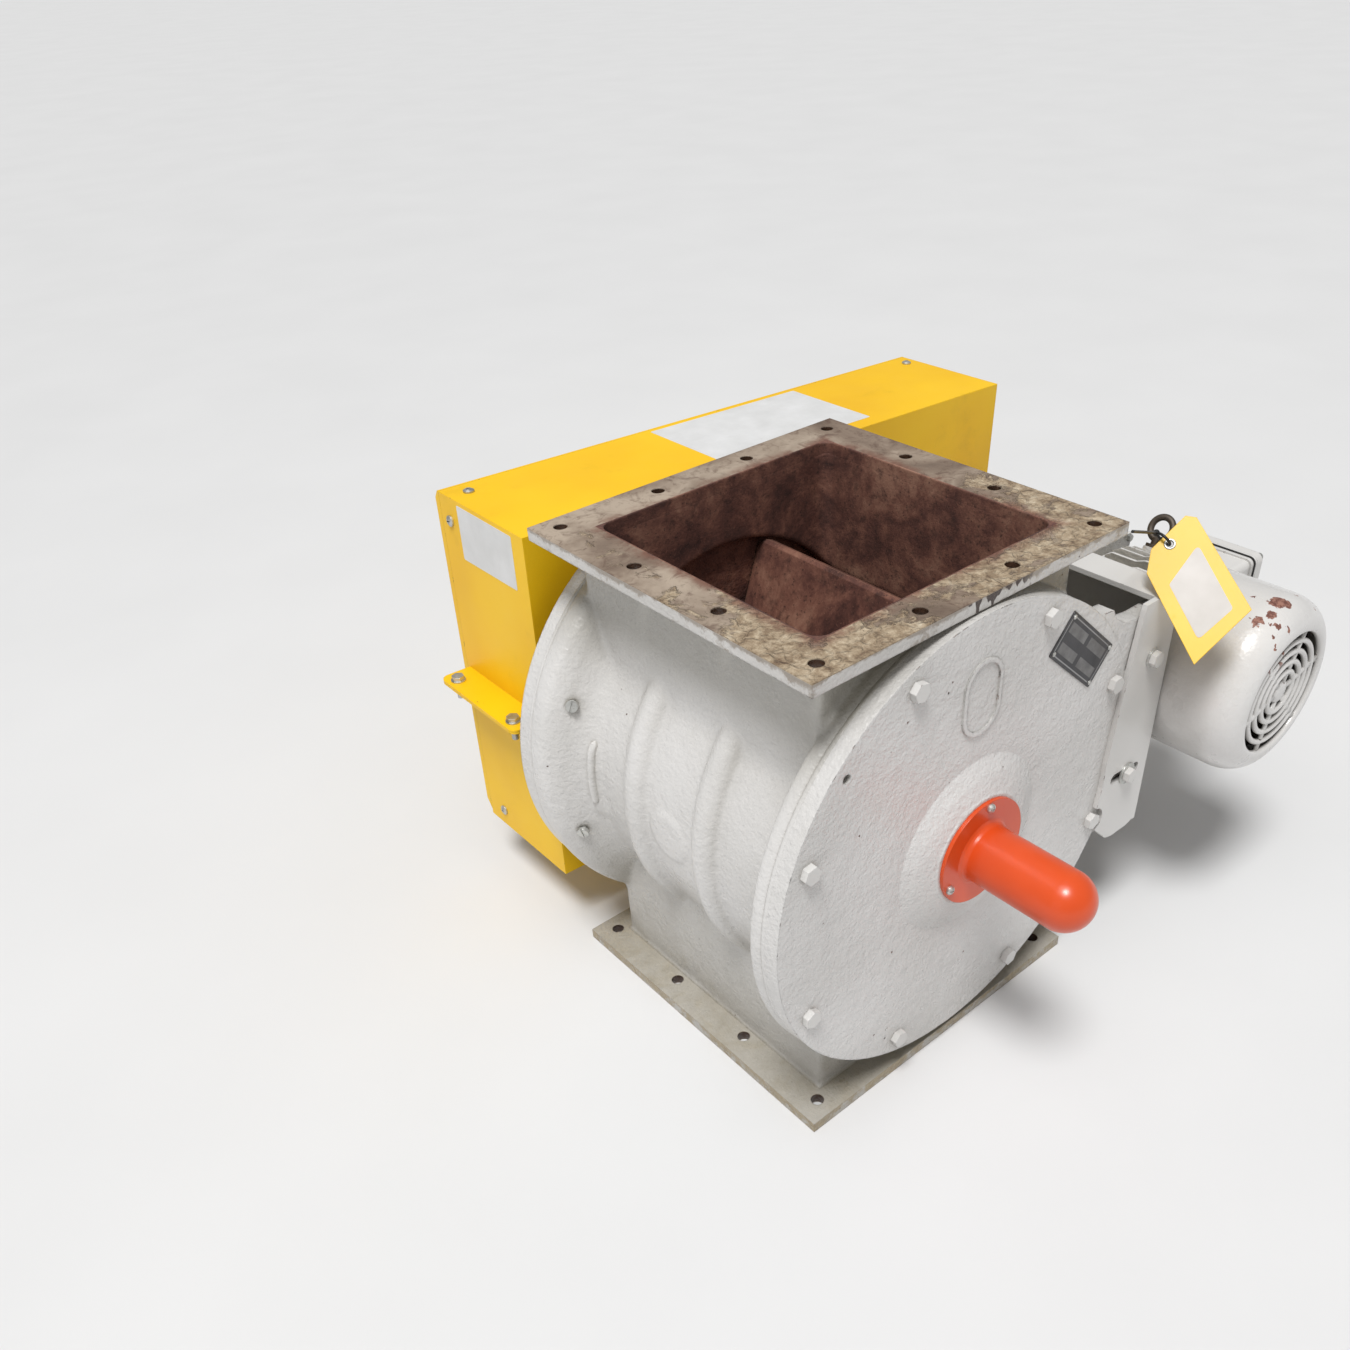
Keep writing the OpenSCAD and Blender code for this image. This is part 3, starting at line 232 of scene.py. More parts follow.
# ---------------------------------------------------------------- materials
PLATE_X, PLATE_Z, PLATE_A = 0.146, 0.433, math.radians(-41.7)


def rust_color(g, scale=14.0):
    n1 = g.noise(scale, 7, 0.72, 0.3)
    n2 = g.noise(scale * 5, 5, 0.7)
    n3 = g.noise(scale * 32, 3, 0.7)
    c = g.ramp(n1, (0.34, srgb(60, 37, 33)), (0.46, srgb(96, 61, 52)), (0.54, srgb(122, 82, 68)), (0.66, srgb(152, 112, 93)))
    c = g.mix(g.math("MULTIPLY", g.step(n2, 0.48, 0.70), 0.6), c, srgb(58, 38, 33))
    c = g.mix(g.math("MULTIPLY", g.step(n3, 0.57, 0.72), 0.38), c, srgb(164, 120, 100))
    return g.mix(g.math("MULTIPLY", g.step(g.noise(scale * 20, 3, 0.6), 0.60, 0.70), 0.6), c, srgb(44, 30, 27))


def white_color(g, warm=0.0):
    """Off-white enamel with faint tone variation."""
    n = g.noise(5.5, 3, 0.5)
    base = g.ramp(n, (0.32, srgb(206, 204, 201)), (0.55, srgb(219, 217, 215)), (0.75, srgb(227, 226, 224)))
    return base


def chips(g, scale, thresh, size=0.5):
    """Small sparse chips, 1 where the paint is gone."""
    v = g.voronoi(scale, rand=1.0)
    big = g.noise(scale * 0.28, 2, 0.5)
    n = g.noise(scale * 3.2, 3, 0.6)
    d = g.math("ADD", v, g.math("MULTIPLY", g.math("SUBTRACT", n, 0.5), 0.35))
    near = g.step(d, size * 0.22, size * 0.12)
    sel = g.step(big, thresh, thresh + 0.015)
    return g.math("MULTIPLY", near, sel)


def edge_wear(g, radius, amount=0.5, scale=60):
    e = g.edge(radius)
    n = g.noise(scale, 4, 0.65)
    return g.step(g.math("MULTIPLY", e, g.step(n, 0.62 - 0.25 * amount, 0.72)), 0.02, 0.07)


def white_cast(name, lump=1.0, bevel=0.0018, painted_shade=1.0):
    g = Mat(name)
    x, y, z = g.xyz()
    col = white_color(g)
    # painted shade: the enamel is darkened towards grey-green where ambient occlusion finds it enclosed, as under the
    # flange; the last argument scales it
    occluded = g.crevice(0.16)
    ao_shade = g.math("MULTIPLY", g.step(occluded, 0.12, 0.50), g.math("ADD", 0.62, g.math("MULTIPLY", g.noise(14, 4, 0.6), 0.5)), clamp=True)
    col = g.mix(g.math("MULTIPLY", ao_shade, 0.80 * painted_shade), col, srgb(134, 128, 114))
    ch = g.math("MAXIMUM", chips(g, 95, 0.66, 0.55), g.math("MULTIPLY", edge_wear(g, 0.0022, 0.22), 0.85))
    # settled grime, stronger low down
    gr = g.noise(22, 5, 0.6)
    low = g.step(z, 0.10, 0.0)
    grime = g.math("MULTIPLY", g.step(gr, 0.5, 0.8), g.math("ADD", 0.10, g.math("MULTIPLY", low, 0.5)))
    col = g.mix(grime, col, srgb(150, 142, 124))
    chip_col = g.mix(g.step(g.noise(160, 2), 0.4, 0.6), srgb(52, 42, 38), srgb(112, 74, 56))
    col = g.mix(ch, col, chip_col)
    h1 = g.noise(58, 3, 0.5)
    h2 = g.noise(210, 3, 0.55)
    h3 = g.noise(900, 2, 0.5)
    h = g.math("ADD", g.math("MULTIPLY", h1, 1.0), g.math("ADD", g.math("MULTIPLY", h2, 0.75), g.math("MULTIPLY", g.noise(430, 3, 0.6), 0.28)))
    h = g.math("SUBTRACT", h, g.math("MULTIPLY", ch, 0.35))
    nrm = g.bump(h, min(1.0, 0.85 * lump), 0.0020, g.bevel_normal(bevel))
    rough = g.math("ADD", g.math("ADD", 0.22, g.math("MULTIPLY", g.noise(30, 3), 0.14)), g.math("MULTIPLY", ch, 0.4))
    return g, col, rough, nrm, ch


def cover_material():
    """White enamel outside, rust on the face that closes the rotor chamber."""
    # painted shade from white_cast, at reduced strength
    g, col, rough, nrm, ch = white_cast("cover_white_iron", lump=1.15, bevel=0.0030, painted_shade=0.6)
    x, y, z = g.xyz()
    zr = g.math("SUBTRACT", z, 0.278)
    rad = g.math("SQRT", g.math("ADD", g.math("MULTIPLY", x, x), g.math("MULTIPLY", zr, zr)))
    inner = g.math("MULTIPLY", g.math("LESS_THAN", g.math("ABSOLUTE", y), 0.1852), g.math("LESS_THAN", rad, 0.194))
    rust = rust_color(g, 14)
    col = g.mix(inner, col, rust)
    rough = g.math("ADD", rough, g.math("MULTIPLY", inner, 0.4))
    return g.shader(col, rough, 0.0, nrm, coat=0.15, coat_rough=0.15)


def paper_material(name, lo, hi):
    g = Mat(name)
    col = g.ramp(g.noise(24, 4, 0.6), (0.3, srgb(*lo)), (0.7, srgb(*hi)))
    smudge = g.step(g.noise(60, 5, 0.7, 0.8), 0.6, 0.8)
    col = g.mix(g.math("MULTIPLY", smudge, 0.25), col, srgb(178, 176, 168))
    nrm = g.bump(g.noise(500, 3), 0.05, 0.0002)
    return g.shader(col, g.math("ADD", 0.38, g.math("MULTIPLY", g.noise(40, 3), 0.15)), 0.0, nrm)


def cowl_material():
    """White enamel with red-brown chips on top of the cowl; the inside is darkened."""
    # painted shade from white_cast, at reduced strength
    g, col, rough, nrm, ch = white_cast("cowl_white", lump=0.35, bevel=0.001, painted_shade=0.45)
    x, y, z = g.xyz()
    dx, dz = g.math("SUBTRACT", x, 0.4074), g.math("SUBTRACT", z, 0.3096)
    rad = g.math("SQRT", g.math("ADD", g.math("MULTIPLY", dx, dx), g.math("MULTIPLY", dz, dz)))
    inside = g.step(rad, 0.1003, 0.0999)
    inside = g.math("MULTIPLY", inside, g.step(y, -0.275, -0.262))
    # chips near the top, by the shoulder: ragged spots about set centres
    wv = g.nt.nodes.new("ShaderNodeSeparateXYZ")
    g.nt.links.new(g.warp(0.015, 130), wv.inputs[0])
    spot = None
    for cx, cy, r in ((0.4016, -0.2673, 0.0098), (0.4065, -0.2735, 0.0062), (0.3950, -0.2640, 0.0054), (0.3671, -0.2676, 0.0066), (0.3818, -0.2724, 0.0060), (0.3766, -0.2835, 0.0042), (0.3859, -0.2927, 0.0026), (0.3657, -0.2865, 0.0020), (0.3643, -0.2931, 0.0020), (0.3940, -0.2437, 0.0018), (0.3719, -0.2793, 0.0018), (0.4363, -0.2680, 0.0015), (0.3660, -0.2583, 0.0015), (0.4482, -0.2869, 0.0012)):
        ex, ey = g.math("SUBTRACT", wv.outputs[0], cx + 0.0075), g.math("SUBTRACT", wv.outputs[1], cy + 0.0075)
        d = g.math("SQRT", g.math("ADD", g.math("MULTIPLY", ex, ex), g.math("MULTIPLY", ey, ey)))
        one = g.step(d, r, r * 0.86)
        spot = one if spot is None else g.math("MAXIMUM", spot, one)
    spot = g.math("MULTIPLY", spot, g.step(dz, 0.03, 0.05))
    col = g.mix(spot, col, g.mix(g.step(g.noise(220, 4, 0.7), 0.42, 0.6), srgb(104, 62, 52), srgb(156, 112, 96)))
    # the inner face of the shell, away from the grille, is painted dark brown-grey
    col = g.mix(inside, col, srgb(70, 62, 56))
    under = g.step(dz, -0.06, -0.1)
    col = g.mix(g.math("MULTIPLY", under, g.math("MULTIPLY", g.step(g.noise(26, 4, 0.65), 0.42, 0.7), 0.3)), col, srgb(168, 146, 128))
    return g.shader(col, g.math("ADD", rough, g.math("MULTIPLY", spot, 0.3)), 0.0, nrm, coat=0.35, coat_rough=0.08)


def finish_white_cast(name, **kw):
    g, col, rough, nrm, ch = white_cast(name, **kw)
    return g.shader(col, rough, 0.0, nrm, coat=0.4, coat_rough=0.08)


def housing_material():
    """White enamel outside, bare stained flange faces, rusty throat and bore."""
    g, col, rough, nrm, ch = white_cast("housing_white_iron", lump=0.9, bevel=0.0022)
    x, y, z = g.xyz()
    # painted shade: the neck under the flange and the underside of the barrel are darkened towards grey
    neck = g.math("MULTIPLY", g.math("MULTIPLY", g.step(z, 0.405, 0.470), g.math("LESS_THAN", z, 0.5310)), g.math("ADD", 0.34, g.math("MULTIPLY", g.noise(11, 4, 0.6), 0.26)))
    under = g.math("MULTIPLY", g.step(z, 0.25, 0.10), g.math("MULTIPLY", g.noise(9, 4, 0.6), 0.46))
    col = g.mix(g.math("MAXIMUM", neck, under), col, srgb(140, 135, 121))
    ax, ay = g.math("ABSOLUTE", x), g.math("ABSOLUTE", y)
    zr = g.math("SUBTRACT", z, 0.278)
    rad = g.math("SQRT", g.math("ADD", g.math("MULTIPLY", x, x), g.math("MULTIPLY", zr, zr)))
    mx_ = g.math("MAXIMUM", ax, ay)
    throat = g.math("LESS_THAN", mx_, 0.1540)
    bore = g.math("MULTIPLY", g.math("LESS_THAN", rad, 0.1972), g.math("LESS_THAN", ay, 0.1845))
    inner = g.math("MAXIMUM", throat, bore)
    # top face of the inlet flange, and the outlet flange's underside
    top = g.step(z, 0.5428, 0.5436)
    bottom = g.step(z, 0.0008, 0.0003)
    face = g.math("MAXIMUM", top, bottom)
    rust = rust_color(g, 16)
    # machined face: grey-brown steel, tan dried sealant, rust at the rim of the opening
    m1 = g.noise(9, 5, 0.6, 0.6)
    m2 = g.noise(46, 5, 0.68, 1.2)
    streak = g.noise(120, 4, 0.6)
    metal = g.ramp(g.math("ADD", m1, g.math("MULTIPLY", g.step(x, -0.10, -0.17), 0.10)), (0.3, srgb(112, 95, 82)), (0.48, srgb(148, 130, 114)), (0.66, srgb(190, 174, 156)))
    metal = g.mix(g.math("MULTIPLY", g.step(m2, 0.48, 0.70), 0.65), metal, srgb(96, 72, 60))
    # sealant lies mostly on the -Y and -X sides
    side = g.math("ADD", g.math("ADD", g.step(y, 0.02, -0.15), g.math("MULTIPLY", g.step(x, -0.05, -0.19), 0.45)), g.math("MULTIPLY", g.step(x, 0.10, 0.19), 0.25))
    blot = g.noise(19, 6, 0.7, 0.35)
    seal = g.math("MULTIPLY", g.step(g.math("ADD", blot, g.math("MULTIPLY", g.math("SUBTRACT", side, 0.75), 0.22)), 0.49, 0.56), g.step(side, 0.2, 0.5))
    crumple = g.voronoi(52, feature="DISTANCE_TO_EDGE", vec=g.warp(0.045, 30))
    seal_col = g.ramp(g.noise(55, 7, 0.78, 0.25), (0.36, srgb(112, 90, 70)), (0.46, srgb(150, 130, 105)), (0.57, srgb(182, 164, 138)), (0.68, srgb(208, 194, 170)))
    seal_col = g.mix(g.math("MULTIPLY", g.math("MULTIPLY", g.step(crumple, 0.045, 0.0), g.step(g.noise(24, 3), 0.45, 0.60)), 0.35), seal_col, srgb(112, 90, 70))
    metal = g.mix(seal, metal, seal_col)
    rimrust = g.math("MULTIPLY", g.step(mx_, 0.170, 0.1535), g.step(g.noise(40, 4, 0.6), 0.35, 0.62))
    metal = g.mix(g.math("MULTIPLY", rimrust, 0.8), metal, srgb(122, 78, 62))
    metal = g.mix(g.math("MULTIPLY", g.step(streak, 0.56, 0.75), 0.35), metal, srgb(92, 74, 64))
    # flange side faces: white paint worn to grey metal along the arris, with grime
    fl = g.math("MULTIPLY", g.step(z, 0.5305, 0.532), g.math("SUBTRACT", 1.0, top))
    worn = g.math("MULTIPLY", fl, g.step(g.math("ADD", g.noise(34, 5, 0.7), g.math("MULTIPLY", g.step(z, 0.536, 0.5441), 0.20)), 0.52, 0.66))
    col = g.mix(g.math("MULTIPLY", fl, 0.35), col, srgb(172, 166, 158))
    col = g.mix(g.math("MULTIPLY", worn, 0.75), col, srgb(134, 120, 104))
    fl2 = g.math("MULTIPLY", g.math("LESS_THAN", z, 0.0125), g.math("GREATER_THAN", z, 0.0005))
    worn2 = g.math("MULTIPLY", fl2, g.step(g.math("ADD", g.noise(40, 5, 0.7), g.math("MULTIPLY", g.step(z, 0.0, 0.0127), 0.10)), 0.44, 0.58))
    col = g.mix(g.math("MULTIPLY", worn2, 0.85), col, g.mix(g.noise(120, 4, 0.7), srgb(112, 92, 62), srgb(176, 158, 118)))
    # dust and stains lie on the upper side of the outlet flange
    ledge = g.math("MULTIPLY", g.step(z, 0.0175, 0.0132), g.math("GREATER_THAN", z, 0.0121))
    stain = g.math("ADD", 0.42, g.math("MULTIPLY", g.step(g.noise(17, 6, 0.7, 0.4), 0.44, 0.66), 0.45))
    col = g.mix(g.math("MULTIPLY", ledge, stain), col, g.mix(g.noise(60, 4, 0.7), srgb(128, 120, 102), srgb(182, 174, 158)))
    # dark patches along the upper edge of the front side face
    dr = g.math("MULTIPLY", g.step(x, -0.045, -0.02), g.step(x, 0.075, 0.045))
    dr = g.math("MULTIPLY", dr, g.math("LESS_THAN", y, -0.1975))
    dr = g.math("MULTIPLY", dr, fl)
    teeth = g.noise(75, 2, 0.5, vec=g.mapping(scale=(1, 1, 0.25)))
    drip = g.math("MULTIPLY", dr, g.step(g.math("ADD", teeth, g.math("MULTIPLY", g.step(z, 0.535, 0.5441), 0.16)), 0.60, 0.63))
    col = g.mix(drip, col, srgb(58, 42, 36))
    # the walls of the bolt holes are rusty, and painted very dark as painted shade inside the holes
    inset = g.math("MULTIPLY", g.math("LESS_THAN", ax, 0.1995), g.math("LESS_THAN", ay, 0.1960))
    zz_top = g.math("GREATER_THAN", z, 0.5322)
    zz_bot = g.math("LESS_THAN", z, 0.0120)
    holes = g.math("MULTIPLY", inset, g.math("MAXIMUM", zz_top, zz_bot))
    holes = g.math("MULTIPLY", holes, g.math("SUBTRACT", 1.0, face))
    col = g.mix(holes, col, g.mix(g.noise(90, 3), srgb(46, 34, 28), srgb(92, 66, 50)))
    col = g.mix(face, col, metal)
    col = g.mix(inner, col, rust)
    hr = g.noise(230, 5, 0.65)
    bump_in = g.bump(hr, 0.7, 0.0008, g.bevel_normal(0.0025))
    seal_h = g.math("MULTIPLY", seal, g.math("ADD", g.math("MULTIPLY", g.step(crumple, 0.0, 0.20), 0.9), g.noise(110, 6, 0.75, 0.3)))
    bump_face = g.bump(g.math("ADD", seal_h, g.math("MULTIPLY", m2, 0.25)), 1.0, 0.0022, g.bevel_normal(0.0016))
    n = g.nt.nodes.new("ShaderNodeMix")
    n.data_type = "VECTOR"
    g.put(n.inputs[0], inner)
    g.nt.links.new(nrm, n.inputs[4])
    g.nt.links.new(bump_in, n.inputs[5])
    n2 = g.nt.nodes.new("ShaderNodeMix")
    n2.data_type = "VECTOR"
    g.put(n2.inputs[0], g.math("MULTIPLY", face, g.math("SUBTRACT", 1.0, inner)))
    g.nt.links.new(n.outputs[1], n2.inputs[4])
    g.nt.links.new(bump_face, n2.inputs[5])
    bare = g.math("MAXIMUM", face, inner)
    r_bare = g.math("ADD", 0.55, g.math("MULTIPLY", m2, 0.35))
    rough = g.math("ADD", g.math("MULTIPLY", rough, g.math("SUBTRACT", 1.0, bare)), g.math("MULTIPLY", r_bare, bare))
    metallic = g.math("MULTIPLY", face, g.math("MULTIPLY", g.math("SUBTRACT", 1.0, inner), g.math("SUBTRACT", 0.45, g.math("MULTIPLY", seal, 0.45))))
    return g.shader(col, rough, metallic, n2.outputs[1], coat=0.12, coat_rough=0.15)


def rusty_iron():
    g = Mat("vane_rust")
    col = rust_color(g, 12)
    h = g.math("ADD", g.noise(150, 5, 0.65), g.math("MULTIPLY", g.noise(20, 3), 0.6))
    wear = g.step(g.math("MULTIPLY", g.edge(0.002), g.noise(60, 3)), 0.02, 0.08)
    col = g.mix(g.math("MULTIPLY", wear, 0.6), col, srgb(150, 118, 98))
    nrm = g.bump(h, 0.6, 0.0008, g.bevel_normal(0.0015))
    return g.shader(col, g.math("ADD", 0.55, g.math("MULTIPLY", g.noise(40, 3), 0.3)), 0.1, nrm, spec=0.35)


def painted_steel(name, base, dark, light, chip=0.68, bevel=0.0012, orange_peel=0.12, chip_col=(90, 70, 58), rough=0.28, wear=0.2):
    g = Mat(name)
    x, y, z = g.xyz()
    n = g.noise(4.5, 3, 0.5)
    col = g.ramp(n, (0.3, srgb(*dark)), (0.52, srgb(*base)), (0.75, srgb(*light)))
    dirt = g.math("MULTIPLY", g.step(g.noise(15, 5, 0.65), 0.56, 0.8), 0.22)
    # painted shade: the paint is darkened where ambient occlusion finds it enclosed, combined with the random dirt
    # patches
    painted_shade = g.math("MULTIPLY", g.step(g.crevice(0.10), 0.25, 0.9), 0.5)
    col = g.mix(g.math("MAXIMUM", dirt, painted_shade), col, srgb(*[int(c * 0.72) for c in dark]))
    ch = g.math("MAXIMUM", chips(g, 110, chip, 0.5), edge_wear(g, 0.0014, wear, 80))
    col = g.mix(ch, col, srgb(*chip_col))
    h = g.math("ADD", g.noise(420, 2, 0.5), g.math("MULTIPLY", g.noise(36, 2), 0.7))
    h = g.math("SUBTRACT", h, g.math("MULTIPLY", ch, 0.5))
    nrm = g.bump(h, orange_peel, 0.0008, g.bevel_normal(bevel))
    r = g.math("ADD", g.math("ADD", rough, g.math("MULTIPLY", g.noise(26, 3), 0.12)), g.math("MULTIPLY", ch, 0.35))
    return g, col, r, nrm, ch


def zinc(name="zinc_plate", tone=(200, 200, 196), rough=0.36):
    g = Mat(name)
    n = g.noise(60, 4, 0.6)
    col = g.ramp(n, (0.3, srgb(*[int(c * 0.72) for c in tone])), (0.55, srgb(*tone)), (0.8, srgb(*[min(255, int(c * 1.12)) for c in tone])))
    spots = g.step(g.noise(260, 3, 0.6), 0.66, 0.74)
    col = g.mix(g.math("MULTIPLY", spots, 0.6), col, srgb(96, 84, 70))
    w = g.edge(0.0008)
    col = g.mix(g.math("MULTIPLY", w, 0.8), col, srgb(206, 206, 204))
    h = g.noise(700, 3, 0.5)
    nrm = g.bump(h, 0.12, 0.0003, g.bevel_normal(0.0005))
    return g.shader(col, g.math("ADD", rough, g.math("MULTIPLY", g.noise(120, 3), 0.2)), 0.9, nrm)


def machined(name, tone, rough=0.3, ring=True, bump=0.15):
    g = Mat(name)
    n = g.noise(35, 4, 0.6)
    col = g.ramp(n, (0.3, srgb(*[int(c * 0.7) for c in tone])), (0.6, srgb(*tone)), (0.8, srgb(*[min(255, int(c * 1.1)) for c in tone])))
    oil = g.step(g.noise(18, 4), 0.55, 0.7)
    col = g.mix(g.math("MULTIPLY", oil, 0.4), col, srgb(74, 60, 44))
    lines = g.noise(18, 2, 0.5, vec=g.mapping(scale=(2, 60, 2)))
    nrm = g.bump(lines, bump, 0.0003, g.bevel_normal(0.0005))
    return g.shader(col, g.math("ADD", rough, g.math("MULTIPLY", g.noise(90, 3), 0.15)), 0.85, nrm)


def plastic(name, base, dark, rough=0.2, bump=0.05, scale=300, coat=0.3, scuffs=0.5, bevel=0.001, sss=0.0):
    g = Mat(name)
    n = g.noise(8, 3, 0.5)
    col = g.ramp(n, (0.3, srgb(*dark)), (0.6, srgb(*base)))
    sc = g.math("MULTIPLY", g.step(g.noise(70, 6, 0.75, 1.0), 0.60, 0.72), scuffs)
    col = g.mix(g.math("MULTIPLY", sc, 0.35), col, srgb(*[min(255, int(c * 0.78 + 22)) for c in dark]))
    col = g.mix(g.math("MULTIPLY", g.edge(0.0012), 0.35), col, srgb(*[min(255, int(c + 24)) for c in base]))
    nrm = g.bump(g.math("ADD", g.noise(scale, 2), g.math("MULTIPLY", g.noise(30, 2), 0.6)), bump, 0.0006, g.bevel_normal(bevel))
    return g.shader(col, g.math("ADD", rough, g.math("MULTIPLY", sc, 0.35)), 0.0, nrm, coat=coat, coat_rough=0.08)


def plate_material():
    """Dark anodised plate with a fine border and empty fields, scuffed."""
    g = Mat("nameplate_metal")
    x, y, z = g.xyz()
    ca, sa = math.cos(PLATE_A), math.sin(PLATE_A)
    dx, dz = g.math("SUBTRACT", x, PLATE_X), g.math("SUBTRACT", z, PLATE_Z)
    u = g.math("ABSOLUTE", g.math("ADD", g.math("MULTIPLY", dx, ca), g.math("MULTIPLY", dz, sa)))
    w = g.math("SUBTRACT", g.math("MULTIPLY", dz, ca), g.math("MULTIPLY", dx, sa))
    aw = g.math("ABSOLUTE", w)
    col = g.ramp(g.noise(30, 4, 0.6), (0.3, srgb(52, 52, 55)), (0.7, srgb(74, 73, 76)))
    def box(u0, u1, w0, w1):
        a = g.math("MULTIPLY", g.step(u, u0 - 0.0004, u0), g.step(u, u1 + 0.0004, u1))
        return g.math("MULTIPLY", a, g.math("MULTIPLY", g.step(w, w0 - 0.0004, w0), g.step(w, w1 + 0.0004, w1)))
    rim = g.math("SUBTRACT", box(0, 0.0462, -0.0208, 0.0208), box(0, 0.0450, -0.0196, 0.0196))
    fields = g.math("MAXIMUM", box(0.004, 0.041, 0.0055, 0.0155), box(0.004, 0.041, -0.0155, -0.0055))
    col = g.mix(g.math("MULTIPLY", fields, 0.8), col, g.ramp(g.noise(70, 4, 0.6), (0.3, srgb(104, 103, 103)), (0.7, srgb(140, 139, 138))))
    col = g.mix(g.math("MULTIPLY", rim, 0.8), col, srgb(168, 168, 168))
    scr = g.step(g.noise(22, 4, 0.7, 0.6), 0.56, 0.70)
    col = g.mix(g.math("MULTIPLY", scr, 0.35), col, srgb(128, 124, 120))
    col = g.mix(g.math("MULTIPLY", g.edge(0.0006), 0.7), col, srgb(176, 174, 170))
    nrm = g.bump(g.math("ADD", g.noise(600, 3), g.math("MULTIPLY", fields, -1.0)), 0.18, 0.0003, g.bevel_normal(0.0004))
    return g.shader(col, g.math("ADD", 0.34, g.math("MULTIPLY", scr, 0.25)), 0.55, nrm)


def rubber(name="belt_rubber"):
    g = Mat(name)
    col = g.ramp(g.noise(40, 4, 0.6), (0.3, srgb(26, 26, 26)), (0.7, srgb(44, 43, 42)))
    dust = g.step(g.noise(14, 5, 0.6), 0.5, 0.75)
    col = g.mix(g.math("MULTIPLY", dust, 0.3), col, srgb(92, 86, 78))
    nrm = g.bump(g.noise(500, 3), 0.2, 0.0004, g.bevel_normal(0.0006))
    return g.shader(col, g.math("ADD", 0.6, g.math("MULTIPLY", dust, 0.2)), 0.0, nrm, spec=0.3)


def yellow_steel():
    g, col, r, nrm, ch = painted_steel("guard_yellow", (246, 196, 12), (238, 184, 8), (251, 205, 26), chip=0.72, orange_peel=0.10, chip_col=(96, 76, 48), rough=0.40, wear=0.12)
    return g.shader(col, r, 0.0, nrm, coat=0.04, coat_rough=0.2, spec=0.35)


def white_steel(name="white_steel", **kw):
    g, col, r, nrm, ch = painted_steel(name, (214, 212, 209), (200, 198, 194), (223, 222, 219), **kw)
    return g.shader(col, r, 0.0, nrm, coat=0.3, coat_rough=0.1)


MATS = {
    "white_cast_iron": finish_white_cast("white_cast_iron_mat"),
    "white_painted_steel": white_steel(),
    "rusty_iron": rusty_iron(),
    "plated_steel": zinc(),
    "machined_steel": machined("machined_steel_mat", (150, 150, 150)),
    "dark_iron": machined("dark_iron_mat", (70, 70, 74), rough=0.45),
    "black_rubber": rubber(),
    "orange_plastic": plastic("orange_cap_plastic", (226, 84, 30), (210, 74, 26), rough=0.30, coat=0.12, scuffs=0.5),
    "dark_plate": plate_material(),
    "black_plastic": plastic("black_plastic_mat", (34, 34, 34), (20, 20, 20), rough=0.45, coat=0.0),
    "yellow_painted_steel": yellow_steel(),
    "yellow_plastic": plastic("tag_yellow", (236, 190, 30), (228, 180, 20), rough=0.45, coat=0.02, scuffs=0.4),
}
slots = {}
for sp in frame["record"]["subparts"]:
    slots[sp["node"]] = sp["material_slot"]


def give(obj, mat):
    if not obj.data.materials:
        obj.data.materials.append(mat)
    for i in range(len(obj.material_slots)):
        obj.material_slots[i].link = "DATA"
        obj.data.materials[i] = mat


for n, o in nodes.items():
    give(o, MATS[slots[n]])
give(nodes["housing"], housing_material())
cover_mat = cover_material()
give(nodes["front_end_cover"], cover_mat)
give(nodes["rear_end_cover"], cover_mat)
give(nodes["lifting_eye"], machined("eye_iron", (96, 88, 80), rough=0.5))

# ---------------------------------------------------------------- pieces
def link(name, mesh):
    o = bpy.data.objects.new(name, mesh)
    scene.collection.objects.link(o)
    return o


def merged_copy(node, name):
    me = nodes[node].data.copy()
    bm = bmesh.new()
    bm.from_mesh(me)
    bmesh.ops.remove_doubles(bm, verts=bm.verts, dist=2e-6)
    bm.to_mesh(me)
    bm.free()
    me.name = name
    return me


def cut(mesh, z, keep_above, fill=False):
    bm = bmesh.new()
    bm.from_mesh(mesh)
    geom = bm.verts[:] + bm.edges[:] + bm.faces[:]
    r = bmesh.ops.bisect_plane(bm, geom=geom, plane_co=(0, 0, z), plane_no=(0, 0, 1), clear_inner=keep_above, clear_outer=not keep_above)
    if fill:
        edges = [e for e in r["geom_cut"] if isinstance(e, bmesh.types.BMEdge)]
        bmesh.ops.triangle_fill(bm, use_beauty=True, use_dissolve=False, edges=edges)
    bm.to_mesh(mesh)
    bm.free()


def apply_mods(o):
    dg = bpy.context.evaluated_depsgraph_get()
    me = bpy.data.meshes.new_from_object(o.evaluated_get(dg), depsgraph=dg)
    o.modifiers.clear()
    o.data = me


def shade(o, smooth=True):
    for p in o.data.polygons:
        p.use_smooth = smooth


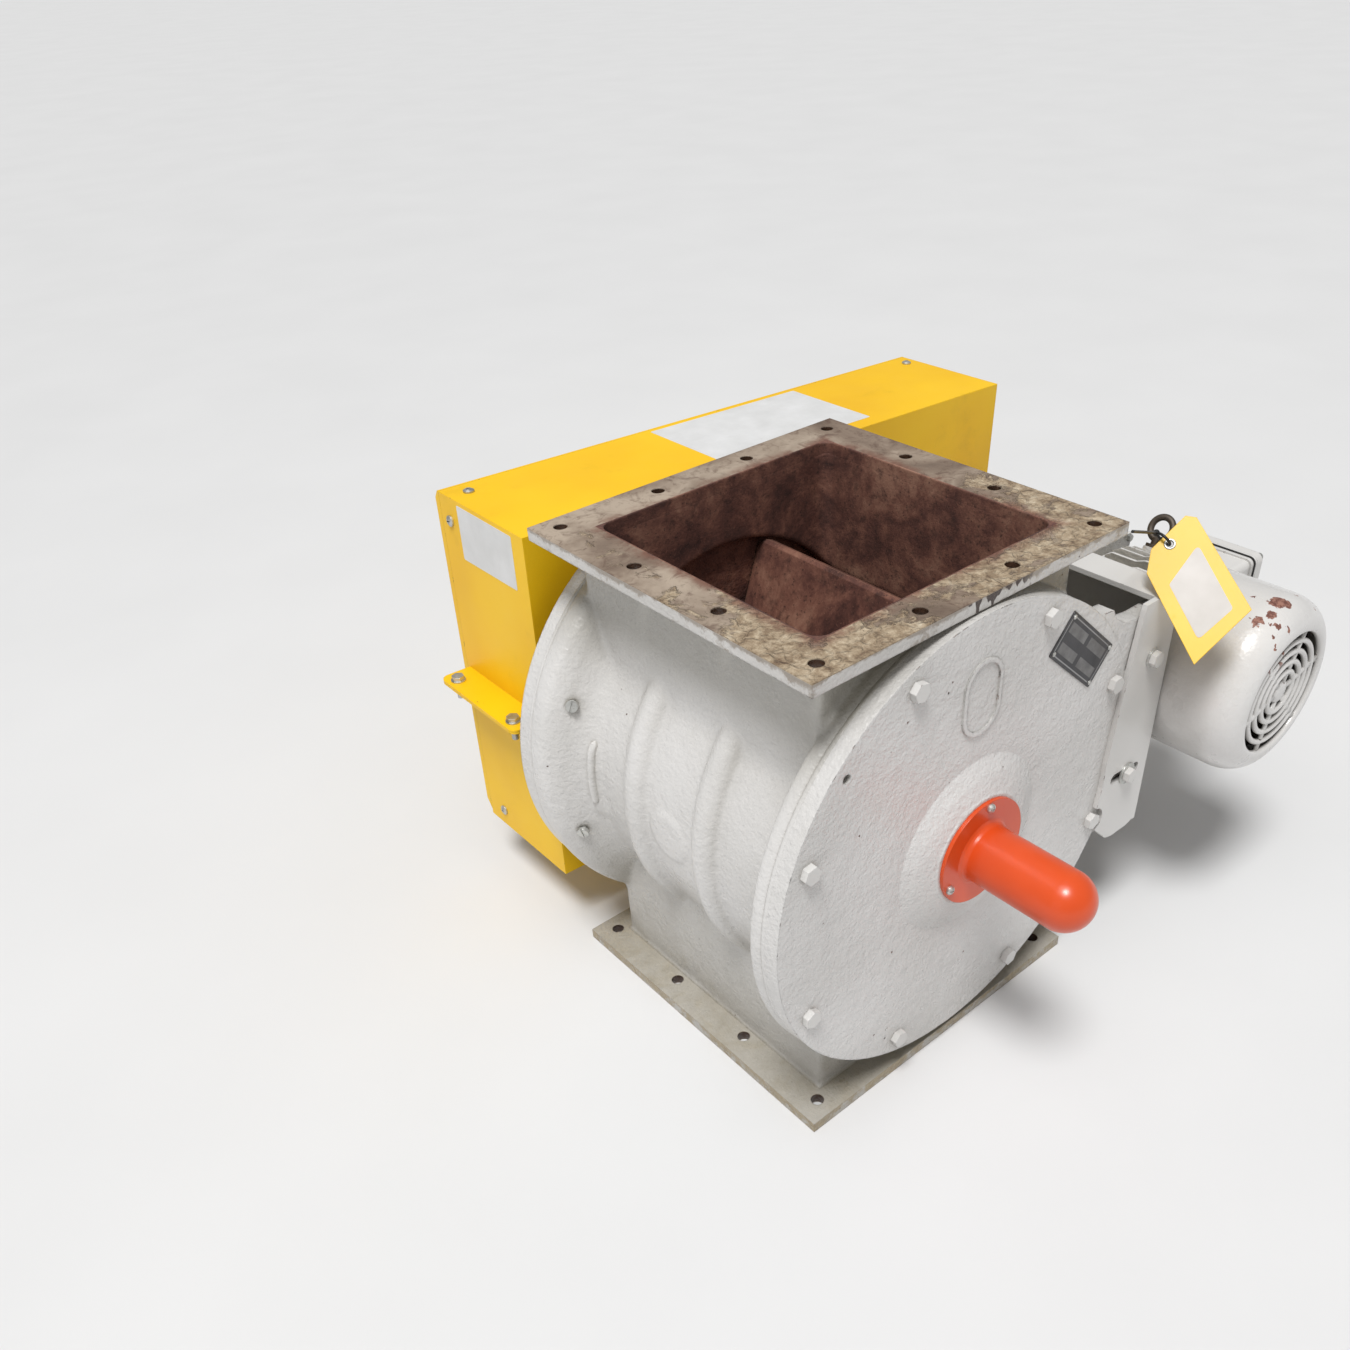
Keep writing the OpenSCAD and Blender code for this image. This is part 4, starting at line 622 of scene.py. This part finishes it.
# the casting: soft cast body between two crisp machined flanges
housing_mat = nodes["housing"].data.materials[0]
Z0, Z1 = 0.0127, 0.5314
body_mesh = merged_copy("housing", "casting_body")
cut(body_mesh, Z1 + 0.0022, False, fill=True)
cut(body_mesh, Z0 - 0.0022, True, fill=True)
casting = link("casting_body", body_mesh)
rm = casting.modifiers.new("voxels", "REMESH")
rm.mode = "VOXEL"
rm.voxel_size = 0.0026
apply_mods(casting)
soft = casting.vertex_groups.new(name="soft")
for v in casting.data.vertices:
    a = abs(v.co.y)
    # the marked patch low on the barrel is softened fully; a crisp bar is laid over it
    w = 1.0 if 0.112 < v.co.y < 0.142 and v.co.x < -0.15 and 0.236 < v.co.z < 0.350 else 0.36
    # machined faces under the covers and the flange ends stay put
    w *= min(1.0, max(0.0, (v.co.z - Z0) / 0.006)) * min(1.0, max(0.0, (Z1 - v.co.z) / 0.006))
    if a > 0.1835:
        w *= 0.25
    soft.add([v.index], w, "REPLACE")
sm = casting.modifiers.new("soften", "SMOOTH")
sm.factor = 0.5
sm.iterations = 26
sm.vertex_group = "soft"
apply_mods(casting)
casting.data.materials.clear()
casting.data.materials.append(housing_mat)
shade(casting)
flanges = []
for nm, zz, up in (("inlet_flange", Z1, True), ("outlet_flange", Z0, False)):
    me = merged_copy("housing", nm)
    cut(me, zz - 0.0003 if up else zz + 0.0003, up)
    me.materials.clear()
    me.materials.append(housing_mat)
    flanges.append(link(nm, me))
for o in [casting] + flanges:
    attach(o, "valve_body")
    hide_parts("housing")

# ---------------------------------------------------------------- small builders
def new_obj(name, bm, mat, smooth=True):
    me = bpy.data.meshes.new(name)
    bmesh.ops.recalc_face_normals(bm, faces=bm.faces)
    bm.to_mesh(me)
    bm.free()
    me.materials.append(mat)
    o = link(name, me)
    for p in me.polygons:
        p.use_smooth = smooth
    return o


def smooth_path(pts, n):
    """Catmull-Rom through the points, ends kept."""
    out = []
    P = [Vector(p) for p in pts]
    for i in range(len(P) - 1):
        a, b, c, d = P[max(i - 1, 0)], P[i], P[i + 1], P[min(i + 2, len(P) - 1)]
        for k in range(n):
            t = k / n
            out.append(0.5 * ((2 * b) + (c - a) * t + (2 * a - 5 * b + 4 * c - d) * t * t + (3 * b - a - 3 * c + d) * t ** 3))
    out.append(P[-1])
    return out


def lathe_y(bm, prof, cx, cz, seg=128, closed=True):
    """Revolves (radius, y) points about an axis along Y."""
    rings = []
    for r, y in prof:
        rings.append([bm.verts.new((cx + r * math.cos(2 * PI * k / seg), y, cz + r * math.sin(2 * PI * k / seg))) for k in range(seg)])
    n = len(rings)
    for i in range(n if closed else n - 1):
        a, b = rings[i], rings[(i + 1) % n]
        for k in range(seg):
            bm.faces.new((a[k], a[(k + 1) % seg], b[(k + 1) % seg], b[k]))
    return rings


def torus_y(bm, R, r, cx, y, cz, seg=96, sides=14, flat=1.0):
    prof = [(R + r * math.cos(2 * PI * k / sides), y + r * flat * math.sin(2 * PI * k / sides)) for k in range(sides)]
    lathe_y(bm, prof, cx, cz, seg)


def rounded_bar(bm, p0, p1, w, t, up, sides=12):
    """A bar of flattened round section from p0 to p1."""
    p0, p1, up = Vector(p0), Vector(p1), Vector(up).normalized()
    d = (p1 - p0).normalized()
    side = d.cross(up).normalized()
    loops = []
    for p in (p0, p1):
        loops.append([bm.verts.new(p + side * (w * math.cos(2 * PI * k / sides)) + up * (t * math.sin(2 * PI * k / sides))) for k in range(sides)])
    for k in range(sides):
        bm.faces.new((loops[0][k], loops[0][(k + 1) % sides], loops[1][(k + 1) % sides], loops[1][k]))
    for lp in loops:
        bm.faces.new(lp)


def slab(name, outline, thick, place, mat, corner=0.0, arc=6):
    """A thin flat plate with rounded corners; place maps plate coordinates to the world."""
    pts = []
    n = len(outline)
    for i in range(n):
        a, b, c = Vector(outline[i - 1]), Vector(outline[i]), Vector(outline[(i + 1) % n])
        if corner <= 0:
            pts.append(b)
            continue
        u, v = (a - b).normalized(), (c - b).normalized()
        ang = math.acos(max(-1, min(1, u.dot(v))))
        tl = min(corner / math.tan(ang / 2), (a - b).length * 0.45, (c - b).length * 0.45)
        s0, s1 = b + u * tl, b + v * tl
        for k in range(arc + 1):
            t = k / arc
            pts.append((1 - t) ** 2 * s0 + 2 * t * (1 - t) * b + t * t * s1)
    bm = bmesh.new()
    lo = [bm.verts.new((p.x, p.y, 0)) for p in pts]
    hi = [bm.verts.new((p.x, p.y, thick)) for p in pts]
    bm.faces.new(lo)
    bm.faces.new(hi)
    m = len(pts)
    for k in range(m):
        bm.faces.new((lo[k], lo[(k + 1) % m], hi[(k + 1) % m], hi[k]))
    bmesh.ops.transform(bm, matrix=place, verts=bm.verts)
    return new_obj(name, bm, mat, smooth=False)


def body(o, rides="valve_body"):
    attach(o, rides)
    return o


# ---------------------------------------------------------------- motor cowl
MX, MZ = 0.4074, 0.3096
cowl_mat = cowl_material()
bm = bmesh.new()
outer = [(0.1025, -0.182), (0.1025, -0.215), (0.1025, -0.248), (0.1024, -0.261), (0.1013, -0.2695), (0.0985, -0.2780), (0.0940, -0.2856), (0.0880, -0.2915), (0.0815, -0.2950), (0.0760, -0.2964), (0.0725, -0.2962), (0.0706, -0.2948), (0.0698, -0.2920)]
inner = [(0.0702, -0.2895), (0.0740, -0.2888), (0.0800, -0.2872), (0.0862, -0.2830), (0.0915, -0.2765), (0.0955, -0.2680), (0.0982, -0.2580), (0.0995, -0.2450), (0.0995, -0.215), (0.0995, -0.182)]
prof = smooth_path([(r, y, 0) for r, y in outer], 3) + smooth_path([(r, y, 0) for r, y in inner], 3)
lathe_y(bm, [(p.x, p.y) for p in prof], MX, MZ, 144)
for R in (0.0595, 0.0475, 0.0355, 0.0240):
    torus_y(bm, R, 0.0033, MX, -0.2905, MZ, 112, 14, 1.1)
hub = [(0.0001, -0.2936), (0.008, -0.2934), (0.0120, -0.2922), (0.0138, -0.2900), (0.0132, -0.2880), (0.0001, -0.2876)]
lathe_y(bm, hub, MX, MZ, 64, closed=False)
for k in range(6):
    a = math.radians(12 + 60 * k)
    c_, s_ = math.cos(a), math.sin(a)
    rounded_bar(bm, (MX + 0.010 * c_, -0.2900, MZ + 0.010 * s_), (MX + 0.0715 * c_, -0.2912, MZ + 0.0715 * s_), 0.0040, 0.0024, (0, 1, 0))
cowl = new_obj("motor_cowl", bm, cowl_mat)
body(cowl)
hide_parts("fan_cowl")

# ---------------------------------------------------------------- raised bar on the barrel
cast_skin = BVHTree.FromPolygons([v.co.copy() for v in casting.data.vertices], [tuple(q.vertices) for q in casting.data.polygons])
bm = bmesh.new()
rows = []
NS, NC = 28, 10
for i in range(NS + 1):
    t = math.radians(-6.4 + 21.4 * i / NS)
    end = min(1.0, math.sqrt(max(0.0, 1 - max(0.0, abs(2 * i / NS - 1) - 0.84) ** 2 / 0.16 ** 2)))
    row = []
    for j in range(NC + 1):
        a = PI * j / NC
        y = 0.1270 + 0.0038 * math.cos(a) * max(end, 0.05)
        out = Vector((-math.cos(t), 0.0, math.sin(t)))
        hit = cast_skin.ray_cast(Vector((0.0, y, 0.278)) + out * 0.30, -out)
        R = 0.30 - hit[3] - 0.0006 + 0.0040 * math.sin(a) ** 0.7 * max(end, 0.02)
        row.append(bm.verts.new(Vector((0.0, y, 0.278)) + out * R))
    rows.append(row)
for i in range(NS):
    for j in range(NC):
        bm.faces.new((rows[i][j], rows[i][j + 1], rows[i + 1][j + 1], rows[i + 1][j]))
bar = new_obj("cast_bar", bm, housing_mat)
body(bar)
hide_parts("housing")

# paint bridges the joint between each cover and the casting
for nm, yy in (("paint_bead_front", -0.1855), ("paint_bead_rear", 0.1855)):
    bm = bmesh.new()
    torus_y(bm, 0.24945, 0.0022, 0.0, yy, 0.278, 220, 14, 1.5)
    bead = new_obj(nm, bm, housing_mat)
    body(bead)
    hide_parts("housing")

# ---------------------------------------------------------------- terminal box gasket
yz = Matrix(((0, 0, 1, 0), (1, 0, 0, 0), (0, 1, 0, 0), (0, 0, 0, 1)))
gasket_place = Matrix.Translation((0.5312, 0, 0)) @ yz
bm = bmesh.new()
loops = []
for off, zt in ((0.0013, 0.0), (0.0013, 0.0024), (-0.0078, 0.0024), (-0.0078, 0.0)):
    y0, y1, z0, z1 = -0.172 - off, -0.062 + off, 0.2736 - off, 0.3816 + off
    rr = 0.009 if off > 0 else 0.005
    ring = []
    for cy, cz, a0 in ((y1 - rr, z1 - rr, 0), (y0 + rr, z1 - rr, 90), (y0 + rr, z0 + rr, 180), (y1 - rr, z0 + rr, 270)):
        for k in range(7):
            a = math.radians(a0 + 15 * k)
            ring.append(bm.verts.new((cy + rr * math.cos(a), cz + rr * math.sin(a), zt)))
    loops.append(ring)
for i in range(4):
    A, B = loops[i], loops[(i + 1) % 4]
    for k in range(len(A)):
        bm.faces.new((A[k], A[(k + 1) % len(A)], B[(k + 1) % len(A)], B[k]))
bmesh.ops.transform(bm, matrix=gasket_place, verts=bm.verts)
seal = new_obj("terminal_box_seal", bm, MATS["black_rubber"], smooth=False)
body(seal)
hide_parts("conduit_gasket")

# ---------------------------------------------------------------- hang tag
tag = Matrix.Translation((0.2443, -0.270, 0.4031)) @ Matrix.Rotation(math.radians(-152.19), 4, "Z") @ Matrix.Rotation(math.radians(46.1), 4, "Y")
panel_mat = paper_material("tag_panel_white", (188, 182, 175), (200, 194, 188))
up1 = tag @ Matrix.Translation((0, 0, 0.0012))
pan = slab("tag_panel", [(-0.1201, -0.019), (-0.0607, 0.0248), (-0.0252, -0.001), (-0.0762, -0.0381)], 0.0003, up1, panel_mat, corner=0.004)
body(pan)
bm = bmesh.new()
for zz in (0.0013, -0.0002):
    prof_n = 12
    seg = 40
    rings = []
    for k in range(seg):
        a = 2 * PI * k / seg
        row = []
        for j in range(prof_n):
            b = 2 * PI * j / prof_n
            rr = 0.0046 + 0.0013 * math.cos(b)
            row.append(bm.verts.new((-0.1173 + rr * math.cos(a), -0.0452 + rr * math.sin(a), zz + 0.0007 * math.sin(b))))
        rings.append(row)
    for k in range(seg):
        a_, b_ = rings[k], rings[(k + 1) % seg]
        for j in range(prof_n):
            bm.faces.new((a_[j], a_[(j + 1) % prof_n], b_[(j + 1) % prof_n], b_[j]))
bmesh.ops.transform(bm, matrix=tag, verts=bm.verts)
eyelet = new_obj("tag_eyelet", bm, MATS["plated_steel"])
body(eyelet)

# ---------------------------------------------------------------- blank labels on the guard
guard = Matrix.Translation((-0.1895, 0.236, 0.5168)) @ Matrix.Rotation(math.radians(2.1), 4, "Y")
paper = paper_material("label_paper", (208, 208, 207), (222, 222, 222))
# plate axes: x runs along the guard's depth, y up; it faces -X
end_face = guard @ Matrix.Translation((-0.00002, 0, 0)) @ Matrix(((0, 0, -1, 0), (-1, 0, 0, 0), (0, 1, 0, 0), (0, 0, 0, 1)))
st = slab("blank_label_end", [(-0.132, -0.067), (-0.023, -0.066), (-0.023, -0.0055), (-0.132, -0.005)], 0.00025, end_face, paper, corner=0.002, arc=3)
body(st)
top_face = guard @ Matrix.Translation((0, 0, 0.00002))
st2 = slab("blank_label_top", [(0.285, 0.022), (0.52, 0.022), (0.52, 0.163), (0.285, 0.163)], 0.00025, top_face, paper, corner=0.002, arc=3)
body(st2)

# ---------------------------------------------------------------- stage
floor_mesh = bpy.data.meshes.new("floor")
bm = bmesh.new()
bmesh.ops.create_grid(bm, x_segments=1, y_segments=1, size=60)
bm.to_mesh(floor_mesh)
bm.free()
floor = bpy.data.objects.new("floor", floor_mesh)
floor.location = (0, 0, -0.0004)
scene.collection.objects.link(floor)
fg = Mat("floor_pale")
fcol = fg.ramp(fg.noise(3, 3), (0.3, (0.71, 0.71, 0.71)), (0.7, (0.73, 0.73, 0.73)))
give(floor, fg.shader(fcol, 0.9, 0.0, None, spec=0.1))

world = bpy.data.worlds.new("soft_world")
scene.world = world
world.use_nodes = True
world.node_tree.nodes["Background"].inputs[0].default_value = (1, 1, 1, 1)
world.node_tree.nodes["Background"].inputs[1].default_value = 0.34


def area(name, loc, target, size, power, color=(1, 1, 1)):
    d = bpy.data.lights.new(name, "AREA")
    d.shape = "RECTANGLE"
    d.size, d.size_y = size
    d.energy = power
    d.color = color
    o = bpy.data.objects.new(name, d)
    o.location = loc
    o.rotation_mode = "QUATERNION"
    o.rotation_quaternion = (Vector(target) - Vector(loc)).to_track_quat("-Z", "Y")
    scene.collection.objects.link(o)


sun_data = bpy.data.lights.new("overhead", "SUN")
sun_data.energy = 2.4
sun_data.angle = math.radians(17)
sun = bpy.data.objects.new("overhead", sun_data)
sun.rotation_mode = "QUATERNION"
sun.rotation_quaternion = Vector((0.34, 0.22, -1)).to_track_quat("-Z", "Y")
scene.collection.objects.link(sun)
area("key", (-0.7, -0.35, 2.5), (0.1, 0, 0.3), (1.5, 1.2), 11)
area("side", (-2.4, -0.6, 0.9), (0.0, 0, 0.3), (1.4, 1.2), 1.5)

scene.view_settings.view_transform = "Standard"
scene.view_settings.look = "None"
